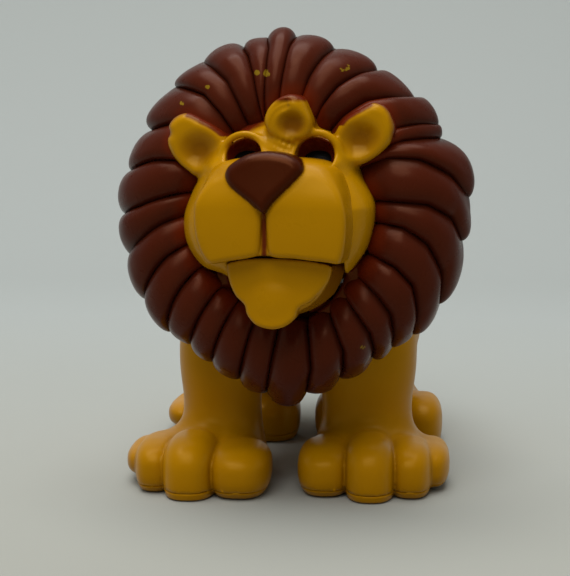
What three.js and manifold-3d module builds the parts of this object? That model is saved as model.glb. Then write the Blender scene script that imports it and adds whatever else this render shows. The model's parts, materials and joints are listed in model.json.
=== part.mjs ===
// Toy lion of hard painted plastic, 80 mm tall: a hollow body in two halves on four glued soles,
// a two-part maned head that turns on a neck pin, and a lower jaw that a spring holds shut.
// Millimetres, +Z up. The lion faces -Y and stands on Z = 0, so its own left side is +X.

import * as THREE from 'three';
import { mergeVertices } from 'three/addons/utils/BufferGeometryUtils.js';
import Module from 'manifold-3d';

const wasm = await Module();
wasm.setup();

// Clearances and walls
const FIT_GAP = 0.3;
const WALL = 1.8;
const OVERRUN = 5;
const RUNNING_GAP = 0.4;

// Paws and soles
const PAW_WIDTH = 25.9;
const PAW_LENGTH = 29;
const TOE_HEIGHT = 11.6;
const PAW_GAP = 4.7;
const PAW_SIDE_STEP = 1.8;
const SOLE_HEIGHT = 1.7;
const SOLE_PLUG_HEIGHT = 3;

// Legs
const LEG_HALF_WIDTH = 8.15;
const LEG_HALF_DEPTH = 8;
const LEG_FRONT_STEP = 1.5;

// Mane and face
const MANE_RADIUS = 30;
const MANE_CLEARANCE = 3.7;
const FACE_HALF_WIDTH = 16.3;
const FACE_HALF_HEIGHT = 19;
const FACE_DEPTH = 13;
const BACK_DEPTH = 8;
const GROOVE_DEPTH = 1.6;
const HEAD_TO_CHEST = 4;
const HEAD_TURN = 6;

// Torso
const TORSO_LENGTH = 55;
const TORSO_HALF_WIDTH = 19;
const TORSO_HEIGHT = 31;
const TORSO_FRONT_Y = -25;
const RUMP_TO_REAR_PAW = 13.8;
const NECK_DROP = 4.5;
const BACK_ABOVE_NECK = 9;
const COLLAR_RADIUS = 9.5;
const COLLAR_GAP = 2;
const COLLAR_REACH = 0.5;

// Neck link and its pin
const NECK_PIN_RADIUS = 1.5;
const NECK_PIN_HEAD_RADIUS = 2.4;
const NECK_PIN_HEAD_HEIGHT = 1.25;
const NECK_EYE_RADIUS = 3.6;
const NECK_EYE_HEIGHT = 8;
const LUG_THICKNESS = 2.5;
const LUG_RADIUS = 4;
const LUG_DEPTH = 3.5;
const LUG_FOOT = 4;
const STEM_RADIUS = 3;
const FLANGE_RADIUS = 6;
const FLANGE_THICKNESS = 2;

// Muzzle
const MUZZLE_HALF_WIDTH = 12.3;
const MUZZLE_HEIGHT = 15.5;
const MUZZLE_REACH = 9;
const MUZZLE_WRAP = 5;
const LIP_DROP = 6;
const NOSE_WIDTH = 12;
const NOSE_HEIGHT = 9.4;
const NOSE_RAISE = 2;
const NOSE_TILT = 12;
const MUZZLE_PEG_RADIUS = 2;
const MUZZLE_PEG_LENGTH = 5;

// Eyes
const EYE_SPACING = 11.4;
const EYE_RADIUS = 2.7;
const EYE_RISE = 11.9;
const EYE_FLANGE = 0.8;
const EYE_LENGTH = 4.6;

// Ears and forelock
const EAR_RADIUS = 5.4;
const EAR_THICKNESS = 4.4;
const EAR_DISTANCE = 19.2;
const EAR_ANGLE = 45;
const EAR_CUP_RADIUS = 3.2;
const FORELOCK_RADIUS = 4.6;
const FORELOCK_THICKNESS = 6;
const FORELOCK_DIMPLE_RADIUS = 1.8;

// Lower jaw, its pin and its spring
const JAW_HALF_WIDTH = 8.15;
const JAW_DEPTH = 9.5;
const JAW_HEIGHT = 6.5;
const CHIN_HALF_WIDTH = 4.5;
const CHIN_DROP = 10;
const CHIN_THICKNESS = 4;
const JAW_SIDE_GAP = 1.45;
const JAW_SETBACK = 3.5;
const MOUTH_HEIGHT = 14;
const JAW_PIN_RADIUS = 1;
const JAW_PIN_DROP = 3.4;
const JAW_PIN_Y_STEP = 8;
const JAW_EYE_RADIUS = 2.4;
const JAW_ARM_THICKNESS = 1.6;
const SPRING_WIRE_RADIUS = 0.3;
const SPRING_COIL_RADIUS = 1.9;
const SPRING_PITCH = 1.3;
const SPRING_COILS = 6;
const SPRING_LEG = 2;

// Fasteners
const BODY_SCREW_RADIUS = 1.3;
const BODY_SCREW_HEAD_RADIUS = 2.6;
const BODY_SCREW_HEAD_HEIGHT = 1.8;
const BODY_SCREW_LENGTH = 13;
const HEAD_SCREW_RADIUS = 1;
const HEAD_SCREW_HEAD_RADIUS = 1.9;
const HEAD_SCREW_HEAD_HEIGHT = 1.2;
const HEAD_SCREW_LENGTH = 5;
const BOSS_WALL = 1.4;

// Tail
const TAIL_RADIUS = 1.9;
const TAIL_FLANGE_RADIUS = 3.8;
const TUFT_RADIUS = 3.4;
const TAIL_DROP = 26;
const TAIL_SWING = 9;
const TAIL_STANDOFF = 4.5;

// Places worked out from the sizes above
const MANE_BOTTOM_SHARE = 1.075;
const HEAD_Z = TOE_HEIGHT + MANE_CLEARANCE + MANE_RADIUS * MANE_BOTTOM_SHARE;
const NECK_Z = HEAD_Z - NECK_DROP;
const BACK_Z = NECK_Z + BACK_ABOVE_NECK;
const BELLY_Z = BACK_Z - TORSO_HEIGHT;
const HEAD_BACK_Y = TORSO_FRONT_Y - HEAD_TO_CHEST;
const SEAM_Y = HEAD_BACK_Y - BACK_DEPTH;
const FACE_Y = SEAM_Y - FACE_DEPTH;
const COLLAR_Y = HEAD_BACK_Y - COLLAR_REACH;
const NECK_Y = COLLAR_Y - RUNNING_GAP - NECK_EYE_RADIUS;
const PAW_X = (PAW_GAP + PAW_WIDTH) / 2;
const LEG_INSET_SHARE = 0.093;
const LEG_X = PAW_X - PAW_WIDTH * LEG_INSET_SHARE;
const FRONT_LEG_Y = TORSO_FRONT_Y - LEG_FRONT_STEP + LEG_HALF_DEPTH;
const PAW_AHEAD_SHARE = 0.262;
const FRONT_PAW_Y = FRONT_LEG_Y - PAW_LENGTH * PAW_AHEAD_SHARE;
const TORSO_REAR_Y = TORSO_FRONT_Y + TORSO_LENGTH;
const REAR_PAW_Y = TORSO_REAR_Y - RUMP_TO_REAR_PAW;
const REAR_LEG_STEP_SHARE = 0.5;
const REAR_LEG_Y = REAR_PAW_Y + LEG_HALF_DEPTH * REAR_LEG_STEP_SHARE;
const LIP_Z = HEAD_Z - LIP_DROP;
const JAW_PIN_Y = FACE_Y + JAW_PIN_Y_STEP;
const JAW_PIN_Z = LIP_Z - JAW_PIN_DROP;
const MOUTH_HALF_WIDTH = JAW_HALF_WIDTH + JAW_SIDE_GAP;

// Locks of the mane, clockwise from the top seen from the front: the edge where each one starts
// in shares of a full turn, and its tip as a share of the mane's radius
const LOCK_SHARES = [
  [-0.025, 1.07], [0, 1.03], [0.035, 0.98], [0.082, 0.96], [0.124, 0.97], [0.16, 0.97],
  [0.186, 1.03], [0.221, 1], [0.26, 1], [0.302, 0.99], [0.335, 0.98], [0.374, 0.95],
  [0.397, 0.94], [0.423, 0.96], [0.461, 1.01], [0.492, 1.075], [0.524, 1.01], [0.551, 0.98],
  [0.579, 0.96], [0.609, 0.95], [0.632, 1], [0.67, 0.99], [0.713, 1], [0.755, 1.01],
  [0.798, 1.02], [0.836, 1.035], [0.88, 1.045], [0.913, 1.05], [0.953, 1.035],
];
const POINTS_PER_LOCK = 2;

// Finishes
const yellowPlastic = { color: 0x9b6b05, roughness: 0.45, metalness: 0 };
const brownPaint = { color: 0x4b2719, roughness: 0.4, metalness: 0 };
const blackPlastic = { color: 0x080405, roughness: 0.15, metalness: 0 };
const steel = { color: 0x8d8f92, roughness: 0.35, metalness: 1 };

// A closed body from rows of points, each row joined to the next, the first and last row capped
function loft(rows) {
  const round = rows[0].length;
  const points = rows.flat();
  const caps = [rows[0], rows.at(-1)].map((row) => points.push(middle(row)) - 1);
  const faces = [];
  const end = (rows.length - 1) * round;
  for (let i = 0; i < round; i += 1) {
    const next = (i + 1) % round;
    for (let row = 0; row < end; row += round) {
      faces.push([row + i, row + next, row + round + next]);
      faces.push([row + i, row + round + next, row + round + i]);
    }
    faces.push([caps[0], next, i]);
    faces.push([caps[1], end + i, end + next]);
  }
  return bodyOf(points, faces);
}

// The average of a row of points
function middle(row) {
  return row.reduce((sum, point) => sum.add(point), new THREE.Vector3()).divideScalar(row.length);
}

// The solid with these corners and faces, its faces turned to point outwards
function bodyOf(points, faces) {
  const six = faces.reduce((sum, [a, b, c]) => {
    const normal = new THREE.Vector3().crossVectors(points[b], points[c]);
    return sum + points[a].dot(normal);
  }, 0);
  const order = six < 0 ? faces.map(([a, b, c]) => [a, c, b]) : faces;
  const vertProperties = new Float32Array(points.flatMap((point) => point.toArray()));
  const triVerts = new Uint32Array(order.flat());
  return new wasm.Manifold(new wasm.Mesh({ numProp: 3, vertProperties, triVerts }));
}

// The solid that a closed three.js geometry encloses
function solid(geometry) {
  geometry.deleteAttribute('normal');
  geometry.deleteAttribute('uv');
  const merged = mergeVertices(geometry);
  const vertProperties = new Float32Array(merged.attributes.position.array);
  const triVerts = new Uint32Array(merged.index.array);
  return new wasm.Manifold(new wasm.Mesh({ numProp: 3, vertProperties, triVerts }));
}

// Several solids as one
function join(pieces) {
  return pieces.reduce((whole, piece) => whole.add(piece));
}

function vector(x, y, z) {
  return new THREE.Vector3(x, y, z);
}

// A box between two corners
function block(low, high) {
  const size = high.clone().sub(low);
  const centre = low.clone().add(high).divideScalar(2);
  const geometry = new THREE.BoxGeometry(size.x, size.y, size.z);
  return solid(geometry.translate(centre.x, centre.y, centre.z));
}

// An ellipsoid
function blob(centre, radii, around = 12, rows = 8) {
  const geometry = new THREE.SphereGeometry(1, around, rows);
  geometry.scale(radii.x, radii.y, radii.z);
  return solid(geometry.translate(centre.x, centre.y, centre.z));
}

// A round bar between two points
function rod(start, end, radius, sides = 10) {
  const along = end.clone().sub(start);
  const geometry = new THREE.CylinderGeometry(radius, radius, along.length(), sides);
  const turn = new THREE.Quaternion().setFromUnitVectors(vector(0, 1, 0), along.clone().normalize());
  const centre = start.clone().add(end).divideScalar(2);
  geometry.applyQuaternion(turn);
  return solid(geometry.translate(centre.x, centre.y, centre.z));
}

// A squarish oval row of points about a centre, its half sizes along two directions
function oval(centre, across, up, count, power = 2) {
  return Array.from({ length: count }, (_, i) => {
    const angle = (i / count) * 2 * Math.PI;
    const bend = (value) => Math.sign(value) * Math.abs(value) ** (2 / power);
    return centre.clone()
      .addScaledVector(across, bend(Math.cos(angle)))
      .addScaledVector(up, bend(Math.sin(angle)));
  });
}

// A named piece with its finish
function mesh(name, body, finish) {
  const { vertProperties, triVerts } = body.getMesh();
  const geometry = new THREE.BufferGeometry();
  geometry.setAttribute('position', new THREE.BufferAttribute(vertProperties, 3));
  geometry.setIndex(new THREE.BufferAttribute(triVerts, 1));
  geometry.computeVertexNormals();
  const result = new THREE.Mesh(geometry, new THREE.MeshStandardMaterial(finish));
  result.name = name;
  return result;
}

// Torso: place along its length, half width, underside and top, as shares
const TORSO_SHARES = [
  [0, 0.62, 0.3, 0.95], [0.07, 0.88, 0.13, 1], [0.22, 0.97, 0.03, 1], [0.5, 0.94, 0, 0.97],
  [0.75, 0.97, 0, 0.94], [0.91, 0.8, 0.08, 0.84], [0.98, 0.48, 0.24, 0.68], [1, 0.15, 0.38, 0.55],
];
const TORSO_SIDES = 16;
const TORSO_POWER = 2.3;

// The torso, thinned by the given amount on every side
function torso(inset) {
  return loft(TORSO_SHARES.map(([along, wide, low, high], row) => {
    const end = row === 0 ? inset : row === TORSO_SHARES.length - 1 ? -inset : 0;
    const bottom = BELLY_Z + low * TORSO_HEIGHT + inset;
    const top = BELLY_Z + high * TORSO_HEIGHT - inset;
    const halfWidth = Math.max(wide * TORSO_HALF_WIDTH - inset, FIT_GAP);
    const centre = vector(0, TORSO_FRONT_Y + along * TORSO_LENGTH + end, (bottom + top) / 2);
    const up = vector(0, 0, Math.max((top - bottom) / 2, FIT_GAP));
    return oval(centre, vector(halfWidth, 0, 0), up, TORSO_SIDES, TORSO_POWER);
  }));
}

// Leg: height between the floor and the middle of the torso, half width and half depth, as shares
const FRONT_LEG_SHARES = [[0.1, 1.05, 1.1], [0.3, 0.98, 1], [0.6, 1, 1], [0.85, 1, 1.05], [1, 0.8, 0.8]];
const REAR_LEG_SHARES = [[0.1, 1.05, 1.15], [0.3, 0.95, 1], [0.6, 1, 1.2], [1, 0.7, 0.9]];
const LEG_SIDES = 12;
const LEG_POWER = 2.2;

// A leg from a given height up into the torso, thinned by the inset
function leg(side, legY, shares, inset, bottomZ) {
  const topZ = BELLY_Z + TORSO_HEIGHT / 2;
  return loft(shares.map(([up, wide, deep], row) => {
    const z = row === 0 ? bottomZ : up * topZ;
    const across = vector(wide * LEG_HALF_WIDTH - inset, 0, 0);
    const along = vector(0, deep * LEG_HALF_DEPTH - inset, 0);
    return oval(vector(side * LEG_X, legY, z), across, along, LEG_SIDES, LEG_POWER);
  }));
}

// Haunch and shoulder: middle and half sizes as shares of the leg and torso sizes
const HAUNCH_MIDDLE_SHARES = [0.72, 0.72, 0.12];
const HAUNCH_SIZE_SHARES = [0.48, 0.23, 0.48];
const SHOULDER_MIDDLE_SHARES = [0.64, 0.17, 0.42];
const SHOULDER_SIZE_SHARES = [0.46, 0.165, 0.42];

// A haunch or shoulder on one side, thinned by the inset
function bulge(side, middleShares, sizeShares, inset) {
  const centre = vector(
    side * middleShares[0] * TORSO_HALF_WIDTH,
    TORSO_FRONT_Y + middleShares[1] * TORSO_LENGTH,
    BELLY_Z + middleShares[2] * TORSO_HEIGHT,
  );
  const radii = vector(
    sizeShares[0] * TORSO_HALF_WIDTH - inset,
    sizeShares[1] * TORSO_LENGTH - inset,
    sizeShares[2] * TORSO_HEIGHT - inset,
  );
  return blob(centre, radii);
}

// Toes of a paw from its inner side: middle and width as shares of the paw's width, and the step
// back from the foremost toe as a share of the paw's length
const LEFT_TOE_SHARES = [[-0.305, 0.38, 0.09], [0, 0.35, 0], [0.268, 0.31, 0.05], [0.37, 0.26, 0.22]];
const RIGHT_TOE_SHARES = [[-0.3, 0.4, 0], [0, 0.36, 0.01], [0.26, 0.31, 0.12], [0.37, 0.26, 0.28]];
const TOE_LENGTH_SHARE = 0.5;
const TOE_MIDDLE_SHARE = 0.43;
const HEEL_SHARES = [0.4, 0.36, 0.6];
const TOE_SIDES = 8;
const TOE_ROWS = 6;

// A paw resting on the floor: a heel and four toes
function paw(side, pawY) {
  const toeShares = side > 0 ? LEFT_TOE_SHARES : RIGHT_TOE_SHARES;
  const halfToe = (TOE_LENGTH_SHARE * PAW_LENGTH) / 2;
  const toeZ = TOE_MIDDLE_SHARE * TOE_HEIGHT;
  const tallness = TOE_HEIGHT - toeZ;
  const toes = toeShares.map(([across, wide, back]) => {
    const x = side * (PAW_X + across * PAW_WIDTH) - PAW_SIDE_STEP;
    const y = pawY - PAW_LENGTH / 2 + back * PAW_LENGTH + halfToe;
    const radii = vector((wide * PAW_WIDTH) / 2, halfToe, tallness);
    return blob(vector(x, y, toeZ), radii, TOE_SIDES, TOE_ROWS);
  });
  const [wide, long, tall] = HEEL_SHARES;
  const heelY = pawY + PAW_LENGTH / 2 - long * PAW_LENGTH;
  const heel = blob(
    vector(side * PAW_X - PAW_SIDE_STEP, heelY, toeZ),
    vector(wide * PAW_WIDTH, long * PAW_LENGTH, tall * TOE_HEIGHT),
  );
  return join([heel, ...toes]).subtract(slab(-TOE_HEIGHT, 0));
}

// Everything between two heights
function slab(low, high) {
  const reach = TORSO_LENGTH * 2;
  return block(vector(-reach, -reach, low), vector(reach, reach, high));
}

// Body screws: place along the torso and height, as shares of its length and height
const BODY_SCREW_SHARES = [[0.24, 0.68], [0.5, 0.3], [0.76, 0.62]];

// The Y and Z of a body screw
function screwPlace([along, up]) {
  return [TORSO_FRONT_Y + along * TORSO_LENGTH, BELLY_Z + up * TORSO_HEIGHT];
}

// A round bar along X at a body screw
function screwAxis(place, fromX, toX, radius) {
  const [y, z] = screwPlace(place);
  return rod(vector(fromX, y, z), vector(toX, y, z), radius);
}

const SCREW_SEAT_X = -BODY_SCREW_LENGTH / 2;
const TAIL_HEIGHT_SHARE = 0.5;
const TAIL_Z = BELLY_Z + TAIL_HEIGHT_SHARE * TORSO_HEIGHT;

// One half of the body with its two legs: a shell with screw bosses, open along the middle
function bodyHalf(side) {
  const collar = rod(
    vector(0, COLLAR_Y, NECK_Z),
    vector(0, TORSO_FRONT_Y + COLLAR_RADIUS, NECK_Z),
    COLLAR_RADIUS,
    TORSO_SIDES,
  );
  const outside = join([
    torso(0),
    collar,
    leg(side, FRONT_LEG_Y, FRONT_LEG_SHARES, 0, SOLE_HEIGHT),
    leg(side, REAR_LEG_Y, REAR_LEG_SHARES, 0, SOLE_HEIGHT),
    bulge(side, HAUNCH_MIDDLE_SHARES, HAUNCH_SIZE_SHARES, 0),
    bulge(side, SHOULDER_MIDDLE_SHARES, SHOULDER_SIZE_SHARES, 0),
    paw(side, FRONT_PAW_Y),
    paw(side, REAR_PAW_Y),
  ]);
  const hollow = join([
    torso(WALL),
    rod(
      vector(0, COLLAR_Y + WALL, NECK_Z),
      vector(0, TORSO_FRONT_Y + COLLAR_RADIUS, NECK_Z),
      COLLAR_RADIUS - WALL,
    ),
    leg(side, FRONT_LEG_Y, FRONT_LEG_SHARES, WALL, -OVERRUN),
    leg(side, REAR_LEG_Y, REAR_LEG_SHARES, WALL, -OVERRUN),
    bulge(side, HAUNCH_MIDDLE_SHARES, HAUNCH_SIZE_SHARES, WALL),
  ]);
  const reach = TORSO_HALF_WIDTH * 2;
  const headed = side < 0;
  const bossRadius = BOSS_WALL + (headed ? BODY_SCREW_HEAD_RADIUS : BODY_SCREW_RADIUS) + FIT_GAP;
  const bosses = join(BODY_SCREW_SHARES.map((place) => screwAxis(place, 0, side * reach, bossRadius)));
  const holes = join(BODY_SCREW_SHARES.flatMap((place) => {
    const shank = BODY_SCREW_RADIUS + FIT_GAP;
    const depth = BODY_SCREW_LENGTH / 2 + FIT_GAP;
    const bore = screwAxis(place, -depth - OVERRUN, depth, shank);
    const seat = screwAxis(place, SCREW_SEAT_X, -reach, BODY_SCREW_HEAD_RADIUS + FIT_GAP);
    return [bore, seat];
  }));
  const neckHole = rod(
    vector(0, COLLAR_Y - OVERRUN, NECK_Z),
    vector(0, COLLAR_Y + OVERRUN, NECK_Z),
    STEM_RADIUS + FIT_GAP,
  );
  const tailHole = rod(
    vector(0, TORSO_REAR_Y - OVERRUN, TAIL_Z),
    vector(0, TORSO_REAR_Y + OVERRUN, TAIL_Z),
    TAIL_RADIUS + FIT_GAP * 2,
  );
  const inner = (side * FIT_GAP) / 2;
  const low = vector(Math.min(inner, side * reach), -reach * 2, SOLE_HEIGHT);
  const high = vector(Math.max(inner, side * reach), reach * 2, BACK_Z + reach);
  return outside
    .subtract(hollow)
    .add(bosses.intersect(outside))
    .subtract(holes)
    .subtract(neckHole)
    .subtract(tailHole)
    .intersect(block(low, high));
}

// A sole closes the foot: the paw's lowest slice, with a plug that fits inside the leg
function sole(side, pawY, legY, shares) {
  const plate = paw(side, pawY).intersect(slab(0, SOLE_HEIGHT - FIT_GAP));
  const plugLeg = leg(side, legY, shares, WALL + FIT_GAP, -OVERRUN);
  const plug = plugLeg.intersect(slab(SOLE_HEIGHT / 2, SOLE_HEIGHT + SOLE_PLUG_HEIGHT));
  return plate.add(plug);
}

// A body screw, its head in the seat of the right half
function bodyScrew(place) {
  const headX = SCREW_SEAT_X - BODY_SCREW_HEAD_HEIGHT;
  const head = screwAxis(place, headX, SCREW_SEAT_X, BODY_SCREW_HEAD_RADIUS);
  const shank = screwAxis(place, SCREW_SEAT_X - FIT_GAP, BODY_SCREW_LENGTH / 2, BODY_SCREW_RADIUS);
  return head.add(shank);
}

// Tail: a cord-like moulding with a flange inside the rump and a tuft at its end
const TAIL_PATH_SHARES = [
  [0, -1.5, 0], [0, -0.6, 0], [0, 0.3, -0.01], [0.06, 1.1, -0.16], [0.3, 1.1, -0.42], [0.7, 1, -0.7], [1, 0.7, -1],
];
const TAIL_FLANGE_SHARE = -1.3;
const TUFT_SHARES = [0.72, 0.86, 1.28];
const TUFT_TAPER_SHARE = 0.8;
const TAIL_STEPS = 18;
const TAIL_SIDES = 10;

function tail() {
  const points = TAIL_PATH_SHARES.map(([swing, back, drop]) => vector(
    swing * TAIL_SWING,
    TORSO_REAR_Y + back * TAIL_STANDOFF,
    TAIL_Z + drop * TAIL_DROP,
  ));
  const path = new THREE.CatmullRomCurve3(points);
  const frames = path.computeFrenetFrames(TAIL_STEPS);
  const [tuftStart, tuftWidest, tuftEnd] = TUFT_SHARES;
  const rows = frames.tangents.map((_, i) => {
    const t = i / TAIL_STEPS;
    const swell = THREE.MathUtils.smoothstep(t, tuftStart, tuftWidest);
    const taper = 1 - THREE.MathUtils.smoothstep(t, tuftWidest, tuftEnd) * TUFT_TAPER_SHARE;
    const radius = (TAIL_RADIUS + (TUFT_RADIUS - TAIL_RADIUS) * swell) * taper;
    const across = frames.normals[i].clone().multiplyScalar(radius);
    const up = frames.binormals[i].clone().multiplyScalar(radius);
    return oval(path.getPoint(t), across, up, TAIL_SIDES);
  });
  const flangeY = TORSO_REAR_Y + TAIL_STANDOFF * TAIL_FLANGE_SHARE;
  const flange = rod(
    vector(0, flangeY - FLANGE_THICKNESS, TAIL_Z),
    vector(0, flangeY, TAIL_Z),
    TAIL_FLANGE_RADIUS,
  );
  return loft(rows).add(flange);
}

// Neck link: a flange trapped in the collar, a stem through its front and an eye for the neck pin
function neckLink() {
  const eye = rod(
    vector(0, NECK_Y, NECK_Z - NECK_EYE_HEIGHT / 2),
    vector(0, NECK_Y, NECK_Z + NECK_EYE_HEIGHT / 2),
    NECK_EYE_RADIUS,
  );
  const flangeY = COLLAR_Y + WALL + FIT_GAP;
  const stem = rod(vector(0, NECK_Y, NECK_Z), vector(0, flangeY + FIT_GAP, NECK_Z), STEM_RADIUS);
  const flange = rod(
    vector(0, flangeY, NECK_Z),
    vector(0, flangeY + FLANGE_THICKNESS, NECK_Z),
    FLANGE_RADIUS,
  );
  return join([eye, stem, flange]).subtract(neckBore(RUNNING_GAP));
}

// Space for the neck pin, wider than it by the gap
function neckBore(gap) {
  const reach = NECK_EYE_HEIGHT / 2 + LUG_THICKNESS + OVERRUN;
  return rod(vector(0, NECK_Y, NECK_Z - reach), vector(0, NECK_Y, NECK_Z + reach), NECK_PIN_RADIUS + gap);
}

// Neck pin: a headed steel pin down through the lugs and the eye
function neckPin() {
  const reach = NECK_EYE_HEIGHT / 2 + RUNNING_GAP + LUG_THICKNESS;
  const top = NECK_Z + reach + FIT_GAP;
  const shank = rod(vector(0, NECK_Y, NECK_Z - reach), vector(0, NECK_Y, top + FIT_GAP), NECK_PIN_RADIUS);
  const headTop = top + NECK_PIN_HEAD_HEIGHT;
  const cap = rod(vector(0, NECK_Y, top), vector(0, NECK_Y, headTop), NECK_PIN_HEAD_RADIUS);
  return shank.add(cap);
}

// The radius of the face's oval at an angle from the top
function faceRadius(angle) {
  const across = Math.sin(angle) / FACE_HALF_WIDTH;
  const up = Math.cos(angle) / FACE_HALF_HEIGHT;
  return 1 / Math.hypot(across, up);
}

// A row of points round the head: a share of the face's oval, then a share of the way out from
// there to the tips of the locks; the locks swell outwards and along Y by their share
function headRow([face, mane, depth, swell], y, forward, inset, perLock) {
  return LOCK_SHARES.flatMap(([start, tip], i) => {
    const [nextStart, nextTip] = LOCK_SHARES[(i + 1) % LOCK_SHARES.length];
    const end = nextStart + (i + 1 === LOCK_SHARES.length ? 1 : 0);
    return Array.from({ length: perLock }, (_, k) => {
      const t = k / perLock;
      const angle = (start + (end - start) * t) * 2 * Math.PI;
      const round = Math.sqrt(Math.max(0, 1 - (2 * t - 1) ** 2));
      const reach = (k === 0 ? Math.min(tip, nextTip) : tip) * MANE_RADIUS;
      const bump = inset > 0 ? 0 : round;
      const outer = reach - GROOVE_DEPTH * swell * (1 - bump) - inset;
      const inner = faceRadius(angle) * face - (face === 1 ? inset : 0);
      const radius = Math.max(inner + mane * (outer - inner), FIT_GAP);
      const lift = forward * (depth + swell * GROOVE_DEPTH * (bump - 1) - inset);
      return vector(radius * Math.sin(angle), y + lift, HEAD_Z + radius * Math.cos(angle));
    });
  });
}

// Front of the head from its middle to the seam, and back of it from the seam to its middle:
// shares of the face, of the mane, of the depth and of the locks' swell
const FRONT_SHARES = [
  [0.1, 0, 1, 0], [0.7, 0, 0.98, 0], [0.92, 0, 0.86, 0], [1, 0, 0.62, 0],
  [1, 0.12, 0.55, 0.4], [1, 0.45, 0.6, 1], [1, 0.8, 0.47, 1], [1, 0.95, 0.24, 1], [1, 1, 0, 1],
];
const BACK_SHARES = [
  [1, 1, 0, 1], [1, 0.94, 0.36, 1], [1, 0.75, 0.68, 1], [1, 0.4, 0.9, 0.8], [1, 0, 1, 0], [0.1, 0, 1, 0],
];

// The head's front or back as a solid dish closed at the seam; an inset gives its hollow
function dish(shares, depth, forward, seamY, inset, perLock = 1) {
  return loft(shares.map(([face, mane, deep, swell]) => {
    const atSeam = deep === 0;
    const y = atSeam && inset > 0 ? seamY - forward * OVERRUN : seamY;
    return headRow([face, mane, deep * depth, swell], y, atSeam ? 0 : forward, inset, perLock);
  }));
}

// Screws that hold the head together: angle from the top in shares of a turn
const HEAD_SCREW_SHARES = [0, 0.36, 0.64];
const HEAD_SCREW_RING_SHARE = 0.8;

// A round bar along Y at a head screw
function headScrewRod(turn, fromY, toY, radius) {
  const angle = turn * 2 * Math.PI;
  const ring = HEAD_SCREW_RING_SHARE * MANE_RADIUS;
  const x = ring * Math.sin(angle);
  const z = HEAD_Z + ring * Math.cos(angle);
  return rod(vector(x, fromY, z), vector(x, toY, z), radius);
}

const HEAD_SEAT_Y = SEAM_Y + BOSS_WALL;

// A head screw, its head in the seat of the back shell
function headScrew(turn) {
  const under = HEAD_SEAT_Y + FIT_GAP;
  const head = headScrewRod(turn, under, under + HEAD_SCREW_HEAD_HEIGHT, HEAD_SCREW_HEAD_RADIUS);
  const shank = headScrewRod(turn, under + FIT_GAP, HEAD_SEAT_Y - HEAD_SCREW_LENGTH, HEAD_SCREW_RADIUS);
  return head.add(shank);
}

// Back of the mane: a dish with a neck opening, screw seats and two lugs that turn on the pin
function headBack() {
  const seamY = SEAM_Y + FIT_GAP / 2;
  const depth = BACK_DEPTH - FIT_GAP / 2;
  const outside = dish(BACK_SHARES, depth, 1, seamY, 0, POINTS_PER_LOCK);
  const hollow = dish(BACK_SHARES, depth, 1, seamY, WALL);
  const opening = rod(
    vector(0, SEAM_Y - OVERRUN, NECK_Z),
    vector(0, HEAD_BACK_Y + OVERRUN, NECK_Z),
    COLLAR_RADIUS + COLLAR_GAP,
    TORSO_SIDES,
  );
  const bossRadius = HEAD_SCREW_HEAD_RADIUS + FIT_GAP + BOSS_WALL;
  const bosses = join(HEAD_SCREW_SHARES.map((turn) => headScrewRod(turn, seamY, HEAD_BACK_Y, bossRadius)));
  const holes = join(HEAD_SCREW_SHARES.flatMap((turn) => [
    headScrewRod(turn, SEAM_Y - OVERRUN, HEAD_BACK_Y, HEAD_SCREW_RADIUS + FIT_GAP),
    headScrewRod(turn, HEAD_SEAT_Y, HEAD_BACK_Y + OVERRUN, HEAD_SCREW_HEAD_RADIUS + FIT_GAP),
  ]));
  const lugs = join([-1, 1].map((side) => {
    const near = NECK_Z + side * (NECK_EYE_HEIGHT / 2 + RUNNING_GAP);
    const far = near + side * LUG_THICKNESS;
    const low = Math.min(near, far);
    const high = Math.max(near, far);
    const footX = COLLAR_RADIUS + COLLAR_GAP + LUG_FOOT / 2;
    const ring = rod(vector(0, NECK_Y, low), vector(0, NECK_Y, high), LUG_RADIUS);
    const strap = block(
      vector(-footX, NECK_Y - LUG_DEPTH / 2, low),
      vector(footX, NECK_Y + LUG_DEPTH / 2, high),
    );
    const feet = [-1, 1].map((edge) => block(
      vector(edge * footX - LUG_FOOT / 2, NECK_Y - LUG_DEPTH / 2, low),
      vector(edge * footX + LUG_FOOT / 2, HEAD_BACK_Y - WALL / 2, high),
    ));
    return join([ring, strap, ...feet]);
  }));
  return outside
    .subtract(hollow)
    .subtract(opening)
    .add(bosses.intersect(outside))
    .subtract(holes)
    .add(lugs)
    .subtract(neckBore(FIT_GAP));
}

// Space of the mouth in the face, wider by the given amount
function mouthBlock(grow, frontY, backY) {
  return block(
    vector(-MOUTH_HALF_WIDTH - grow, frontY, LIP_Z - MOUTH_HEIGHT - grow),
    vector(MOUTH_HALF_WIDTH + grow, backY, LIP_Z + grow),
  );
}

// A round bar along the jaw pin, wider than it by the gap
function jawBore(gap, halfLength) {
  return rod(
    vector(-halfLength, JAW_PIN_Y, JAW_PIN_Z),
    vector(halfLength, JAW_PIN_Y, JAW_PIN_Z),
    JAW_PIN_RADIUS + gap,
  );
}

const EYE_Y = FACE_Y + WALL / 2;

// A round bar along Y at an eye
function eyeRod(side, fromY, toY, radius) {
  const x = (side * EYE_SPACING) / 2;
  return rod(vector(x, fromY, HEAD_Z + EYE_RISE), vector(x, toY, HEAD_Z + EYE_RISE), radius);
}

// A glossy eye: a domed stud with a flange that stops behind the face
function eye(side) {
  const x = (side * EYE_SPACING) / 2;
  const dome = blob(
    vector(x, EYE_Y + EYE_RADIUS / 2, HEAD_Z + EYE_RISE),
    vector(EYE_RADIUS, EYE_RADIUS / 2, EYE_RADIUS),
  );
  const stud = eyeRod(side, EYE_Y + EYE_RADIUS / 2, EYE_Y + EYE_LENGTH, EYE_RADIUS);
  const flange = eyeRod(side, EYE_Y + EYE_LENGTH - EYE_FLANGE, EYE_Y + EYE_LENGTH, EYE_RADIUS + EYE_FLANGE);
  return join([dome, stud, flange]);
}

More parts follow.
